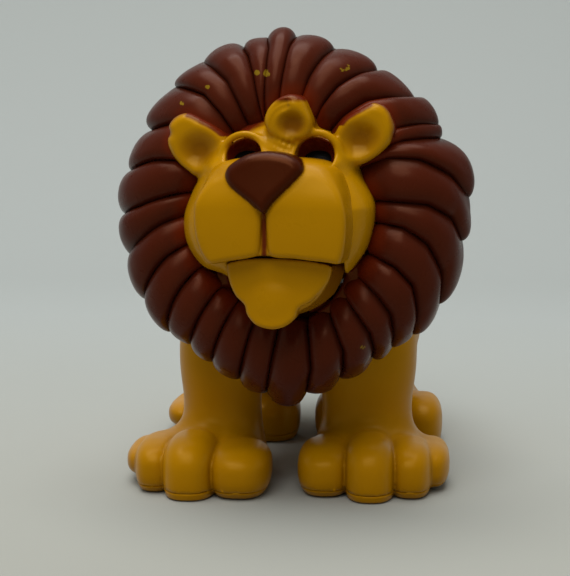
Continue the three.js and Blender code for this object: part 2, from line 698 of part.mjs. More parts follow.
const EAR_FORWARD_SHARE = 0.62;
const EAR_SLOPE = (EAR_ANGLE * Math.PI) / 180;
const EAR_X = EAR_DISTANCE * Math.sin(EAR_SLOPE);
const EAR_Z = HEAD_Z + EAR_DISTANCE * Math.cos(EAR_SLOPE);
const EAR_Y = SEAM_Y - FACE_DEPTH * EAR_FORWARD_SHARE;

// An ear: a thick disc with a shallow cup in its front
function ear(side) {
  const disc = blob(
    vector(side * EAR_X, EAR_Y, EAR_Z),
    vector(EAR_RADIUS, EAR_THICKNESS / 2, EAR_RADIUS),
  );
  const cup = blob(
    vector(side * EAR_X, EAR_Y - EAR_THICKNESS / 2, EAR_Z),
    vector(EAR_CUP_RADIUS, EAR_THICKNESS / 4, EAR_CUP_RADIUS),
  );
  return disc.subtract(cup);
}

// The curl on the forehead, with a dimple
function forelock() {
  const centre = vector(0, FACE_Y + FORELOCK_THICKNESS / 2, HEAD_Z + FACE_HALF_HEIGHT - FORELOCK_RADIUS / 2);
  const curl = blob(centre, vector(FORELOCK_RADIUS, FORELOCK_THICKNESS / 2, FORELOCK_RADIUS));
  const dimple = blob(
    centre.clone().setY(FACE_Y),
    vector(FORELOCK_DIMPLE_RADIUS, FORELOCK_DIMPLE_RADIUS / 2, FORELOCK_DIMPLE_RADIUS),
  );
  return curl.subtract(dimple);
}

// Front of the mane with the face: a dish with the mouth, eye holes and screw bosses
function headFront() {
  const seamY = SEAM_Y - FIT_GAP / 2;
  const depth = FACE_DEPTH - FIT_GAP / 2;
  const outside = dish(FRONT_SHARES, depth, -1, seamY, 0, POINTS_PER_LOCK);
  const hollow = dish(FRONT_SHARES, depth, -1, seamY, WALL);
  const pocketBack = JAW_PIN_Y + JAW_EYE_RADIUS;
  const pocket = mouthBlock(WALL, FACE_Y - OVERRUN, pocketBack).intersect(outside);
  const bossRadius = HEAD_SCREW_RADIUS + FIT_GAP + BOSS_WALL;
  const bosses = join(HEAD_SCREW_SHARES.map((turn) => headScrewRod(turn, FACE_Y, seamY, bossRadius)));
  const screwEnd = HEAD_SEAT_Y - HEAD_SCREW_LENGTH - FIT_GAP;
  const screwHoles = join(HEAD_SCREW_SHARES.map((turn) => (
    headScrewRod(turn, screwEnd, SEAM_Y + OVERRUN, HEAD_SCREW_RADIUS + FIT_GAP)
  )));
  const eyeHoles = join([-1, 1].flatMap((side) => [
    eyeRod(side, FACE_Y - OVERRUN, SEAM_Y, EYE_RADIUS + FIT_GAP),
    eyeRod(side, EYE_Y + EYE_LENGTH - EYE_FLANGE - FIT_GAP, SEAM_Y, EYE_RADIUS + EYE_FLANGE + FIT_GAP),
  ]));
  const pegHoles = join([-1, 1].map((side) => muzzlePeg(side, FIT_GAP)));
  const mouth = mouthBlock(0, FACE_Y - OVERRUN, pocketBack + OVERRUN);
  return outside
    .subtract(hollow)
    .add(pocket)
    .add(bosses.intersect(outside))
    .add(ear(-1))
    .add(ear(1))
    .add(forelock())
    .subtract(mouth)
    .subtract(eyeHoles)
    .subtract(screwHoles)
    .subtract(pegHoles)
    .subtract(jawBore(FIT_GAP, MOUTH_HALF_WIDTH + WALL + OVERRUN));
}

// Muzzle: two flews, the bridge above them and the raised nose pad
const FLEW_MIDDLE_SHARES = [0.46, 0.5];
const FLEW_SIZE_SHARES = [0.54, 1.4, 0.55];
const BRIDGE_SHARES = [0.45, 0.9, 0.3];
const FLEW_SIDES = 18;
const FLEW_ROWS = 12;
const NOSE_OUTLINE_SHARES = [[-0.36, 1], [0.36, 1], [0.5, 0.86], [0.46, 0.66], [0.08, 0.02], [-0.08, 0.02],
  [-0.46, 0.66], [-0.5, 0.86]];
const NOSE_BASE_SHARE = 0.55;

// A peg that holds the muzzle in the face
function muzzlePeg(side, grow) {
  const x = side * MUZZLE_HALF_WIDTH * FLEW_MIDDLE_SHARES[0];
  const z = LIP_Z + MUZZLE_HEIGHT * FLEW_MIDDLE_SHARES[1];
  const end = FACE_Y + MUZZLE_PEG_LENGTH + grow;
  return rod(vector(x, FACE_Y - WALL, z), vector(x, end, z), MUZZLE_PEG_RADIUS + grow);
}

// One rounded side of the muzzle, thinned by the inset
function flew(side, inset) {
  const [across, up] = FLEW_MIDDLE_SHARES;
  const [wide, long, tall] = FLEW_SIZE_SHARES;
  return blob(
    vector(side * across * MUZZLE_HALF_WIDTH, FACE_Y + MUZZLE_REACH * (long - 1), LIP_Z + up * MUZZLE_HEIGHT),
    vector(wide * MUZZLE_HALF_WIDTH - inset, long * MUZZLE_REACH - inset, tall * MUZZLE_HEIGHT - inset),
    FLEW_SIDES,
    FLEW_ROWS,
  );
}

// The nose: a tilted slab with a rounded triangle's outline
function nosePad() {
  const outline = new THREE.Shape(NOSE_OUTLINE_SHARES.map(([across, up]) => (
    new THREE.Vector2(across * NOSE_WIDTH, up * NOSE_HEIGHT)
  )));
  const length = MUZZLE_REACH;
  const geometry = new THREE.ExtrudeGeometry(outline, { depth: length, bevelEnabled: false });
  const tilt = (NOSE_TILT * Math.PI) / 180;
  geometry.rotateX(Math.PI / 2 - tilt);
  const tipY = FACE_Y - MUZZLE_REACH - NOSE_RAISE / 2;
  const tipZ = LIP_Z + NOSE_BASE_SHARE * MUZZLE_HEIGHT;
  return solid(geometry.translate(0, tipY + length * Math.cos(tilt), tipZ - length * Math.sin(tilt)));
}

// The whole muzzle, hollow behind, on its two pegs
function muzzle() {
  const [wide, long, tall] = BRIDGE_SHARES;
  const bridge = blob(
    vector(0, FACE_Y, LIP_Z + MUZZLE_HEIGHT),
    vector(wide * MUZZLE_HALF_WIDTH, long * MUZZLE_REACH, tall * MUZZLE_HEIGHT),
  );
  const outside = join([flew(-1, 0), flew(1, 0), bridge, nosePad()]);
  const hollow = join([flew(-1, WALL), flew(1, WALL)]);
  const bases = join([-1, 1].map((side) => (
    muzzlePeg(side, 0).add(block(
      vector(side * MUZZLE_HALF_WIDTH * FLEW_MIDDLE_SHARES[0] - MUZZLE_PEG_RADIUS, FACE_Y - MUZZLE_REACH, LIP_Z),
      vector(side * MUZZLE_HALF_WIDTH * FLEW_MIDDLE_SHARES[0] + MUZZLE_PEG_RADIUS, FACE_Y - FIT_GAP,
        LIP_Z + MUZZLE_HEIGHT * FLEW_MIDDLE_SHARES[1] + MUZZLE_PEG_RADIUS),
    ).intersect(outside))
  )));
  const face = dish(FRONT_SHARES, FACE_DEPTH, -1, SEAM_Y, 0).translate([0, -FIT_GAP, 0]);
  const eyeRoom = join([-1, 1].map((side) => (
    eyeRod(side, FACE_Y - MUZZLE_REACH, FACE_Y, EYE_RADIUS + FIT_GAP)
  )));
  const room = block(
    vector(-MUZZLE_HALF_WIDTH * 2, FACE_Y - MUZZLE_REACH * 2, LIP_Z),
    vector(MUZZLE_HALF_WIDTH * 2, FACE_Y + MUZZLE_WRAP, LIP_Z + MUZZLE_HEIGHT * 2),
  );
  return outside
    .subtract(hollow)
    .subtract(face)
    .add(bases)
    .intersect(room)
    .subtract(eyeRoom);
}

const JAW_TOP_Z = LIP_Z - FIT_GAP;
const JAW_FRONT_Y = FACE_Y - MUZZLE_REACH + JAW_SETBACK;

// Lower jaw: a bowl with a chin tuft, and two arms back to the jaw pin
function lowerJaw() {
  const bowlY = JAW_FRONT_Y + JAW_DEPTH;
  const bowl = blob(vector(0, bowlY, JAW_TOP_Z), vector(JAW_HALF_WIDTH, JAW_DEPTH, JAW_HEIGHT));
  const scoop = blob(
    vector(0, bowlY, JAW_TOP_Z),
    vector(JAW_HALF_WIDTH - WALL, JAW_DEPTH - WALL, JAW_HEIGHT - WALL),
  );
  const chinY = JAW_FRONT_Y + CHIN_THICKNESS;
  const chin = blob(
    vector(0, chinY, JAW_TOP_Z - CHIN_DROP + CHIN_HALF_WIDTH),
    vector(CHIN_HALF_WIDTH, CHIN_THICKNESS / 2, CHIN_HALF_WIDTH),
  );
  const room = block(
    vector(-JAW_HALF_WIDTH, FACE_Y - MUZZLE_REACH * 2, JAW_TOP_Z - MOUTH_HEIGHT),
    vector(JAW_HALF_WIDTH, bowlY, JAW_TOP_Z),
  );
  const arms = [-1, 1].map((side) => {
    const outer = side * JAW_HALF_WIDTH;
    const inner = outer - side * JAW_ARM_THICKNESS;
    const ring = rod(
      vector(inner, JAW_PIN_Y, JAW_PIN_Z),
      vector(outer, JAW_PIN_Y, JAW_PIN_Z),
      JAW_EYE_RADIUS,
    );
    const arm = block(
      vector(Math.min(inner, outer), bowlY - JAW_ARM_THICKNESS * 2, JAW_PIN_Z - JAW_EYE_RADIUS / 2),
      vector(Math.max(inner, outer), JAW_PIN_Y, JAW_PIN_Z + JAW_EYE_RADIUS),
    );
    return arm.add(ring);
  });
  return bowl.subtract(scoop).intersect(room).add(chin).add(join(arms))
    .subtract(jawBore(RUNNING_GAP, MOUTH_HALF_WIDTH));
}

const STEPS_PER_COIL = 8;
const SPRING_WIRE_SIDES = 5;

// Jaw spring: coils of wire round the jaw pin, one unbroken tube
function springPath() {
  const steps = SPRING_COILS * STEPS_PER_COIL;
  const start = (-SPRING_COILS * SPRING_PITCH) / 2;
  const coils = Array.from({ length: steps + 1 }, (_, i) => {
    const coil = i / STEPS_PER_COIL;
    const angle = coil * 2 * Math.PI;
    return vector(
      start + coil * SPRING_PITCH,
      JAW_PIN_Y + SPRING_COIL_RADIUS * Math.sin(angle),
      JAW_PIN_Z + SPRING_COIL_RADIUS * Math.cos(angle),
    );
  });
  const first = coils[0].clone().add(vector(0, -SPRING_LEG, 0));
  const last = coils.at(-1).clone().add(vector(0, SPRING_LEG, 0));
  return [first, ...coils, last];
}

// The least distance between the surfaces of neighbouring coils
function springGap(points) {
  let least = Infinity;
  points.forEach((point, i) => {
    points.slice(i + STEPS_PER_COIL / 2).forEach((other) => {
      least = Math.min(least, point.distanceTo(other));
    });
  });
  return least - SPRING_WIRE_RADIUS * 2;
}

function jawSpring() {
  const points = springPath();
  const path = new THREE.CatmullRomCurve3(points);
  const outline = new THREE.Shape(Array.from({ length: SPRING_WIRE_SIDES }, (_, i) => {
    const angle = (i / SPRING_WIRE_SIDES) * 2 * Math.PI;
    return new THREE.Vector2(Math.cos(angle), Math.sin(angle)).multiplyScalar(SPRING_WIRE_RADIUS);
  }));
  const geometry = new THREE.ExtrudeGeometry(outline, {
    steps: points.length - 1,
    bevelEnabled: false,
    extrudePath: path,
  });
  return solid(geometry);
}

// Root body: the standing animal
const lion = new THREE.Group();
for (const [name, side] of [['left', 1], ['right', -1]]) {
  lion.add(mesh(`body_${name}_shell`, bodyHalf(side), yellowPlastic));
  lion.add(mesh(`front_${name}_sole`, sole(side, FRONT_PAW_Y, FRONT_LEG_Y, FRONT_LEG_SHARES), yellowPlastic));
  lion.add(mesh(`rear_${name}_sole`, sole(side, REAR_PAW_Y, REAR_LEG_Y, REAR_LEG_SHARES), yellowPlastic));
}
BODY_SCREW_SHARES.forEach((place, i) => lion.add(mesh(`body_screw_${i + 1}`, bodyScrew(place), steel)));
lion.add(mesh('tail', tail(), yellowPlastic));
lion.add(mesh('neck_link', neckLink(), yellowPlastic));

// Head: turned about the neck pin, with everything that turns with it
const head = new THREE.Group();
head.position.set(0, NECK_Y, 0);
head.rotation.z = (-HEAD_TURN * Math.PI) / 180;
function addToHead(name, body, finish) {
  const piece = mesh(name, body, finish);
  piece.position.set(0, -NECK_Y, 0);
  head.add(piece);
}
addToHead('head_front_shell', headFront(), brownPaint);
addToHead('head_back_shell', headBack(), brownPaint);
addToHead('muzzle', muzzle(), yellowPlastic);
addToHead('left_eye', eye(1), blackPlastic);
addToHead('right_eye', eye(-1), blackPlastic);
addToHead('neck_pin', neckPin(), steel);
HEAD_SCREW_SHARES.forEach((turn, i) => addToHead(`head_screw_${i + 1}`, headScrew(turn), steel));
addToHead('jaw_pin', jawBore(0, MOUTH_HALF_WIDTH + WALL / 2), steel);
addToHead('jaw_spring', jawSpring(), steel);
addToHead('lower_jaw', lowerJaw(), yellowPlastic);
lion.add(head);

// The origin sits on the floor under the middle of the whole animal
const bounds = new THREE.Box3().setFromObject(lion, true);
const centre = bounds.getCenter(new THREE.Vector3());
lion.position.set(-centre.x, -centre.y, -bounds.min.z);
lion.updateMatrixWorld(true);

const places = {
  neck: lion.localToWorld(vector(0, NECK_Y, NECK_Z)),
  'middle of the jaw pin': head.localToWorld(vector(0, JAW_PIN_Y - NECK_Y, JAW_PIN_Z)),
  'left end of the jaw': head.localToWorld(vector(JAW_HALF_WIDTH, JAW_PIN_Y - NECK_Y, JAW_PIN_Z)),
  'front left paw': lion.localToWorld(vector(PAW_X - PAW_SIDE_STEP, FRONT_PAW_Y, 0)),
  'rear left paw': lion.localToWorld(vector(PAW_X - PAW_SIDE_STEP, REAR_PAW_Y, 0)),
};
for (const [name, place] of Object.entries(places)) {
  console.log(name, place.toArray().map((value) => value.toFixed(3)).join(' '));
}
console.log('least gap between spring coils', springGap(springPath()).toFixed(2), 'mm');

export default lion;
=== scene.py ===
import json
import math
import bpy
import numpy as np
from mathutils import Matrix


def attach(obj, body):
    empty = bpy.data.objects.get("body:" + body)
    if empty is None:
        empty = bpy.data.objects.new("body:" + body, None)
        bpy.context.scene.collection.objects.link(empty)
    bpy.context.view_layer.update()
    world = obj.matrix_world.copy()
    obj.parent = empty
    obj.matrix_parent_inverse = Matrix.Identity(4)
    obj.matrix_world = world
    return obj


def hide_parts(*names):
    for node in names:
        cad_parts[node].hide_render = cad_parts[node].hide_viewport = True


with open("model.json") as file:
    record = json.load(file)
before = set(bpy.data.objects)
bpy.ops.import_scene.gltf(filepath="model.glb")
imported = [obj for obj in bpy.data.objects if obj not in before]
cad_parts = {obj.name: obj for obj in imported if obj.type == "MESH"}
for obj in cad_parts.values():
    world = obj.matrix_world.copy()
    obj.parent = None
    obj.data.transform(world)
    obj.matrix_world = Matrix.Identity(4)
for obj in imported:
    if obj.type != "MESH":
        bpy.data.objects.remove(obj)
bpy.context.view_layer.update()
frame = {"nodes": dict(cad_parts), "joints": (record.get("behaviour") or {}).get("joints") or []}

# Camera
# The photograph was taken from a little above the toy's eyes, close to it and just to its left,
# looking slightly down at the whole figure. Angles are in degrees, lengths in millimetres.
MM = 0.001
CAMERA_AT = np.array([17.2, -262.9, 67.0])
CAMERA_DOWN, CAMERA_PAN = 7.43, 4.4
PHOTO_WIDTH, PHOTO_HEIGHT, FOCAL_PIXELS = 570, 576, 1428
SENSOR = 36
camera_tilt, camera_pan = math.radians(90 - CAMERA_DOWN), math.radians(CAMERA_PAN)
lens = bpy.data.cameras.new("camera")
lens.lens = FOCAL_PIXELS * SENSOR / PHOTO_HEIGHT
lens.sensor_width = SENSOR
lens.sensor_fit = "AUTO"
camera = bpy.data.objects.new("camera", lens)
camera.location = (CAMERA_AT * MM).tolist()
camera.rotation_euler = (camera_tilt, 0, camera_pan)
bpy.context.scene.collection.objects.link(camera)
bpy.context.scene.camera = camera
bpy.context.scene.view_settings.view_transform = "Standard"

# Studio
# A matt paper sweep, level under the toy and rising behind it, in one soft pale grey. Its light is a
# wide cloth-covered lamp overhead, a weaker one high in front, and the even glow of a pale room.
# The paper's colour at its front and towards its back: the lighter, cooler back is painted light
PAPER_FRONT, PAPER_BACK = "#9f9f96", "#abafac"
SWEEP_WIDTH, SWEEP_FRONT, SWEEP_BEND, SWEEP_RISE, SWEEP_RADIUS = 2400, -900, 260, 900, 240


def linear(hex_colour):
    """A colour written as sRGB hex, turned into the linear values that a shader takes."""
    parts = np.array([int(hex_colour[i:i + 2], 16) / 255 for i in (1, 3, 5)])
    turned = np.where(parts <= 0.04045, parts / 12.92, ((parts + 0.055) / 1.055) ** 2.4)
    return (*turned.tolist(), 1.0)


def set_node(material, node, values=(), links=()):
    """The values on a node's sockets, and the outputs of other nodes that feed it."""
    for socket, value in dict(values).items():
        node.inputs[socket].default_value = value
    for socket, output in dict(links).items():
        material.node_tree.links.new(output, node.inputs[socket])


def add_node(material, kind, settings=(), values=(), links=()):
    """One node in a material: its settings, the values on its sockets, and the outputs that feed it."""
    node = material.node_tree.nodes.new("ShaderNode" + kind)
    for name, value in dict(settings).items():
        setattr(node, name, value)
    set_node(material, node, values, links)
    return node


def new_material(name):
    """An empty node material, its shader, whose output already reaches the surface, and the place
    on the object, over which its patterns are spread."""
    material = bpy.data.materials.new(name)
    material.use_nodes = True
    place = add_node(material, "TexCoord").outputs["Object"]
    return material, material.node_tree.nodes["Principled BSDF"], place


def paper_sweep():
    """A level line, a quarter circle and an upright line, carried straight across along X."""
    turn = np.linspace(0, math.pi / 2, 24)
    bend = SWEEP_BEND + SWEEP_RADIUS * np.sin(turn)
    y = np.concatenate([[SWEEP_FRONT, 0], bend, [SWEEP_BEND + SWEEP_RADIUS]])
    z = np.concatenate([[0, 0], SWEEP_RADIUS * (1 - np.cos(turn)), [SWEEP_RISE]])
    x = np.array([-SWEEP_WIDTH / 2, SWEEP_WIDTH / 2])
    points = np.stack([np.repeat(x, len(y)), np.tile(y, 2), np.tile(z, 2)], axis=1)
    i = np.arange(len(y) - 1)
    faces = np.stack([i, i + len(y), i + len(y) + 1, i + 1], axis=1)
    return points, faces


def make_object(name, points, faces, material):
    """A smooth mesh object from points in millimetres and rows of corner numbers."""
    mesh = bpy.data.meshes.new(name)
    faces = faces.tolist() if isinstance(faces, np.ndarray) else faces
    mesh.from_pydata((points * MM).tolist(), [], faces)
    mesh.polygons.foreach_set("use_smooth", np.full(len(faces), True))
    mesh.materials.append(material)
    mesh.update()
    made = bpy.data.objects.new(name, mesh)
    bpy.context.scene.collection.objects.link(made)
    return made


# Matt paper scatters light evenly, with no gloss and a faint mottle; painted light makes it a little lighter
# and cooler towards its back
paper, paper_shader, paper_place = new_material("matt_paper")
mottle = add_node(paper, "TexNoise", values={"Scale": 18.0, "Detail": 3.0}, links={"Vector": paper_place})
paper_axes = add_node(paper, "SeparateXYZ", links={"Vector": paper_place})
paper_painted_light = add_node(paper, "MapRange", values={1: -0.08, 2: 0.2}, links={0: paper_axes.outputs["Y"]})
paper_patch = add_node(paper, "Math", {"operation": "MULTIPLY_ADD"}, {1: 0.12},
                       {0: mottle.outputs["Fac"], 2: paper_painted_light.outputs[0]})
paper_colour = add_node(paper, "Mix", {"data_type": "RGBA"},
                        {6: linear(PAPER_FRONT), 7: linear(PAPER_BACK)}, {0: paper_patch.outputs[0]})
set_node(paper, paper_shader, {"Roughness": 0.9, "Specular IOR Level": 0.2},
         {"Base Color": paper_colour.outputs[2]})
sweep = make_object("paper_sweep", *paper_sweep(), paper)

# The room lights the toy weakly, and is seen a little darker than the paper
world = bpy.data.worlds.new("pale_room")
world.use_nodes = True
room = world.node_tree.nodes["Background"]
set_node(world, room, {"Color": linear("#e6ebe9"), "Strength": 0.3})
seen_room = add_node(world, "Background", values={"Color": linear("#acb1ad"), "Strength": 1.0})
light_path = add_node(world, "LightPath").outputs
looked_at = add_node(world, "Math", {"operation": "ADD"},
                     links={0: light_path["Is Camera Ray"], 1: light_path["Is Glossy Ray"]})
seen = add_node(world, "Math", {"operation": "ADD", "use_clamp": True},
                links={0: looked_at.outputs[0], 1: light_path["Is Transmission Ray"]})
either_room = add_node(world, "MixShader",
                       links={0: seen.outputs[0], 1: room.outputs[0], 2: seen_room.outputs[0]})
set_node(world, world.node_tree.nodes["World Output"], links={"Surface": either_room.outputs[0]})
bpy.context.scene.world = world

# Each lamp's place and width in metres, its power, and its tilt and turn in degrees
for lamp_name, place, size, watts, tilt, pan in [
    ("overhead_lamp", (-0.1, -0.12, 0.9), 0.9, 8.2, 0, -8),
    ("front_lamp", (-0.1, -0.75, 0.85), 0.7, 4.2, 43, -7),
]:
    lamp = bpy.data.lights.new(lamp_name, "AREA")
    lamp.shape = "DISK"
    lamp.size = size
    lamp.energy = watts
    lamp_object = bpy.data.objects.new(lamp_name, lamp)
    lamp_object.location = place
    lamp_object.rotation_euler = (math.radians(tilt), 0, math.radians(pan))
    bpy.context.scene.collection.objects.link(lamp_object)

# Body
# Two hollow halves of yellow vinyl-like plastic, each with a front and a rear leg and the upper part
# of their paws, screwed together along the middle of the back and belly, with a round collar in front.
# The frame says where the neck pin stands and how far the head is turned. The body's own measures
# have the pin at NECK_Y and NECK_Z.
joints = {joint["name"]: joint for joint in frame["joints"]}
neck = np.array(joints["head_turn"]["pos_m"]) * 1000
jaw_axis = np.array(joints["jaw_open"]["axis"], float)
HEAD_TURN = math.atan2(jaw_axis[1], jaw_axis[0])
NECK_Y, NECK_Z = -33.5, 43.05
BODY_SHIFT = neck - np.array([0, NECK_Y, NECK_Z])
COLLAR_RADIUS, COLLAR_MIDDLE_Y, COLLAR_HALF_LENGTH, COLLAR_EDGE = 9.5, -20, 9.5, 0.9
SIDES = {"left": 1, "right": -1}

# The paws' middles lie at PAW_X to either side, both moved across by PAW_STEP
PAW_X, PAW_STEP = 15.3, -1.8
PAW_Y = {"front": -26.1, "rear": 16.2}
SOLE_TOP, SEAM_GAP, SOLE_GAP = 1.6, 0.16, 0.02
BODY_GRID = 0.42
COARSER = 1
SETTLING_ROUNDS = 3

# Each leg, named by its side (1 is the lion's left) and end: middle along X, half width, middle
# along Y, half depth
LEGS = {
    (1, "front"): (12.2, 8.75, -18.5, 8.1), (-1, "front"): (-14.2, 7.6, -18.5, 8.1),
    (1, "rear"): (12.89, 8.15, 20.2, 8.4), (-1, "rear"): (-12.89, 8.15, 20.2, 8.4),
}


def ramp(values):
    """The values, kept between 0 and 1."""
    return np.clip(values, 0, 1)


def ball(x, y, z, centre, radii):
    """Distance to an ellipsoid, nearly: the point's length in radii, scaled by its local slope."""
    a, b, c = (x - centre[0]) / radii[0], (y - centre[1]) / radii[1], (z - centre[2]) / radii[2]
    near = np.sqrt(a * a + b * b + c * c) + 1e-9
    slope = np.sqrt((a / radii[0]) ** 2 + (b / radii[1]) ** 2 + (c / radii[2]) ** 2) + 1e-9
    return near * (near - 1) / slope


def brick(x, y, z, centre, half, rounding):
    """Distance to a box whose edges are rounded by the given radius."""
    a = np.abs(x - centre[0]) - half[0] + rounding
    b = np.abs(y - centre[1]) - half[1] + rounding
    c = np.abs(z - centre[2]) - half[2] + rounding
    outside = np.sqrt(np.maximum(a, 0) ** 2 + np.maximum(b, 0) ** 2 + np.maximum(c, 0) ** 2)
    return outside + np.minimum(np.maximum(a, np.maximum(b, c)), 0) - rounding


def merge(first, second, fillet):
    """The nearer of two distances, with a fillet where the two surfaces meet."""
    overlap = np.maximum(fillet - np.abs(first - second), 0) / fillet
    return np.minimum(first, second) - overlap * overlap * fillet / 4


def cut(first, second, fillet):
    """The first shape less the second, with the edge between them rounded."""
    return -merge(-first, second, fillet)


def trim(first, second, fillet):
    """What lies in both shapes, with the edge between them rounded."""
    return -merge(-first, -second, fillet)


def slopes(field, points, small):
    """How fast a field grows along each axis at each point, from a small step to either side."""
    return np.stack([
        (field(*(points + small * way).T) - field(*(points - small * way).T)) / (2 * small)
        for way in np.eye(3)], axis=1)


def skin(field, low, high, step):
    """The surface where a distance field is zero. A point is put in each grid cell that the surface
    crosses, at the mean of the crossings on the cell's edges, then moved along the field's slope
    onto the surface; each grid edge that is crossed gives one face between its four cells."""
    low = np.array(low, float)
    counts = np.ceil((np.array(high, float) - low) / step).astype(int) + 1
    axes = [low[i] + step * np.arange(counts[i]) for i in range(3)]
    x, y, z = np.meshgrid(*axes, indexing="ij", sparse=True)
    values = np.broadcast_to(field(x, y, z), counts).astype(np.float32)
    inside = values < 0
    cells = counts - 1
    ways = np.eye(3, dtype=int)
    corners = np.array([[i, j, k] for i in (0, 1) for j in (0, 1) for k in (0, 1)])
    total = np.zeros(cells, np.int8)
    for i, j, k in corners:
        total += inside[i:i + cells[0], j:j + cells[1], k:k + cells[2]]
    crossed = np.argwhere((total > 0) & (total < len(corners)))
    number = np.full(cells, -1, np.int32)
    number[tuple(crossed.T)] = np.arange(len(crossed))
    place, count = np.zeros((len(crossed), 3)), np.zeros(len(crossed))
    for corner in corners:
        for axis in range(3):
            if corner[axis]:
                continue
            first = values[tuple((crossed + corner).T)]
            last = values[tuple((crossed + corner + ways[axis]).T)]
            hit = (first < 0) != (last < 0)
            share = first[hit] / (first[hit] - last[hit])
            place[hit] += corner + share[:, None] * np.eye(3)[axis]
            count[hit] += 1
    points = low + step * (crossed + place / count[:, None])
    for _ in range(SETTLING_ROUNDS):
        value = field(*points.T)
        slope = slopes(field, points, step * 0.05)
        move = value[:, None] * slope / np.maximum((slope ** 2).sum(axis=1), 0.25)[:, None]
        length = np.linalg.norm(move, axis=1)
        points -= move * np.minimum(1, 0.6 * step / np.maximum(length, 1e-9))[:, None]
    faces = []
    for axis in range(3):
        one, two = (axis + 1) % 3, (axis + 2) % 3
        keep = np.argwhere(inside != np.roll(inside, -1, axis=axis))
        keep = keep[(keep[:, axis] < cells[axis]) & (keep[:, one] > 0) & (keep[:, two] > 0)
                    & (keep[:, one] < cells[one]) & (keep[:, two] < cells[two])]
        round_edge = (0 * ways[axis], ways[one], ways[one] + ways[two], ways[two])
        ring = np.stack([number[tuple((keep - back).T)] for back in round_edge], axis=1)
        leaving = inside[tuple(keep.T)]
        faces.append(np.where(leaving[:, None], ring, ring[:, ::-1]))
    return points, np.concatenate(faces)


def on_body(points):
    """Points measured from the body's own middle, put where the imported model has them."""
    return points + BODY_SHIFT


# Toes of each paw, from the inner side outwards: middle along X, width, step back, height
TOES = {
    (1, "front"): [(5.3, 9.7, 2.4, 8.6), (13.1, 9.0, 0.0, 10.1), (19.9, 7.9, 2.6, 8.9),
                   (23.5, 6.9, 7.2, 7.7)],
    (-1, "front"): [(-9.4, 10.9, -0.2, 8.6), (-17.8, 9.5, -0.8, 10.2), (-24.2, 7.6, 3.4, 8.6),
                    (-26.9, 6.6, 8.0, 6.6)],
    (1, "rear"): [(5.9, 9.4, 1.0, 9.2), (13.4, 9.0, 0.0, 9.8), (19.4, 8.6, 0.2, 9.4), (22.7, 8.0, -2.2, 9.3)],
    (-1, "rear"): [(-7.2, 10.8, 0.0, 9.4), (-15.6, 9.4, -0.4, 9.8), (-21.2, 8.6, 1.0, 8.4),
                   (-24.7, 8.2, 3.2, 6.5)],
}
PAW_FRONT_REACH, TOE_HALF_LENGTH, TOE_MIDDLE_Z, TOE_CREASE = 15.6, 8.6, 4.3, 0.35
INSTEP_BACK, INSTEP_Z, INSTEP_RADII = 3.2, 2.6, (11.2, 11.6, 6.4)
FLOOR_EDGE = 0.4

# Middle and radii of the bulges over the legs, for the lion's left side
SHOULDER = ((12.2, -15.4, 33.0), (8.7, 8.8, 13.2))
HAUNCH = ((13.7, 14.6, 25.2), (8.6, 12.4, 14.6))
BODY_FILLET, COLLAR_FILLET, ANKLE_FILLET, INSTEP_FILLET = 4, 3, 3.2, 1.6
TORSO_MIDDLE_Y, TORSO_MIDDLE_Z, TORSO_HALF_WIDTH, TORSO_HALF_HEIGHT = 2.5, 36.5, 18.6, 15.2
TORSO_TO_CHEST, TORSO_TO_RUMP, CHEST_RISE, RUMP_DROP = 27.7, 27.5, 3.2, 1.0
ANKLE_Z, CALF_Z, LEG_ROUND_FROM_Z, LEG_ROUND_HEIGHT = 12.5, 21, 22, 14.5

# Each body screw's place along Y and Z, and the seat that it is sunk in
BODY_SCREWS = [(-11.8, 42.13), (2.5, 30.35), (16.8, 40.27)]
SCREW_SEAT_X, SCREW_SEAT_RADIUS = -6.5, 2.9


def pebble(x, y, z, centre, radii, power):
    """Distance to a squarish ellipsoid, nearly: the point's length in radii by a higher power."""
    total = (np.abs((x - centre[0]) / radii[0]) ** power + np.abs((y - centre[1]) / radii[1]) ** power
             + np.abs((z - centre[2]) / radii[2]) ** power)
    return (total ** (1 / power) - 1) * min(radii)


def torso(x, y, z):
    """Distance to the torso: a squarish oval across, blunt at the chest and round at the rump."""
    rise = CHEST_RISE * ramp((-12 - y) / 13) ** 2 - RUMP_DROP * ramp((y - 14) / 16) ** 2
    back = y - TORSO_MIDDLE_Y
    along = np.where(back < 0, np.abs(back / TORSO_TO_CHEST) ** 4.6, np.abs(back / TORSO_TO_RUMP) ** 3.4)
    up = z - TORSO_MIDDLE_Z - rise
    across = np.abs(x / TORSO_HALF_WIDTH) ** 2.4 + np.abs(up / TORSO_HALF_HEIGHT) ** 2.4
    return ((across + along) ** (1 / 2.4) - 1) * 14


def foot(x, y, z, toes, paw_y, side):
    """Distance to a paw: four squarish toes with tight creases, an instep behind them, a flat base."""
    front = paw_y - PAW_FRONT_REACH
    low = TOE_MIDDLE_Z + np.minimum(z - TOE_MIDDLE_Z, 0) * 0.8 + np.maximum(z - TOE_MIDDLE_Z, 0)
    whole = None
    for middle, width, back, tall in toes:
        toe = pebble(x, y, low, (middle, front + back + TOE_HALF_LENGTH, TOE_MIDDLE_Z),
                     (width / 2, TOE_HALF_LENGTH, tall - TOE_MIDDLE_Z), 2.6)
        whole = toe if whole is None else merge(whole, toe, TOE_CREASE)
    instep = ball(x, y, z, (side * PAW_X + PAW_STEP, paw_y + INSTEP_BACK, INSTEP_Z), INSTEP_RADII)
    return trim(merge(whole, instep, INSTEP_FILLET), -z, FLOOR_EDGE)


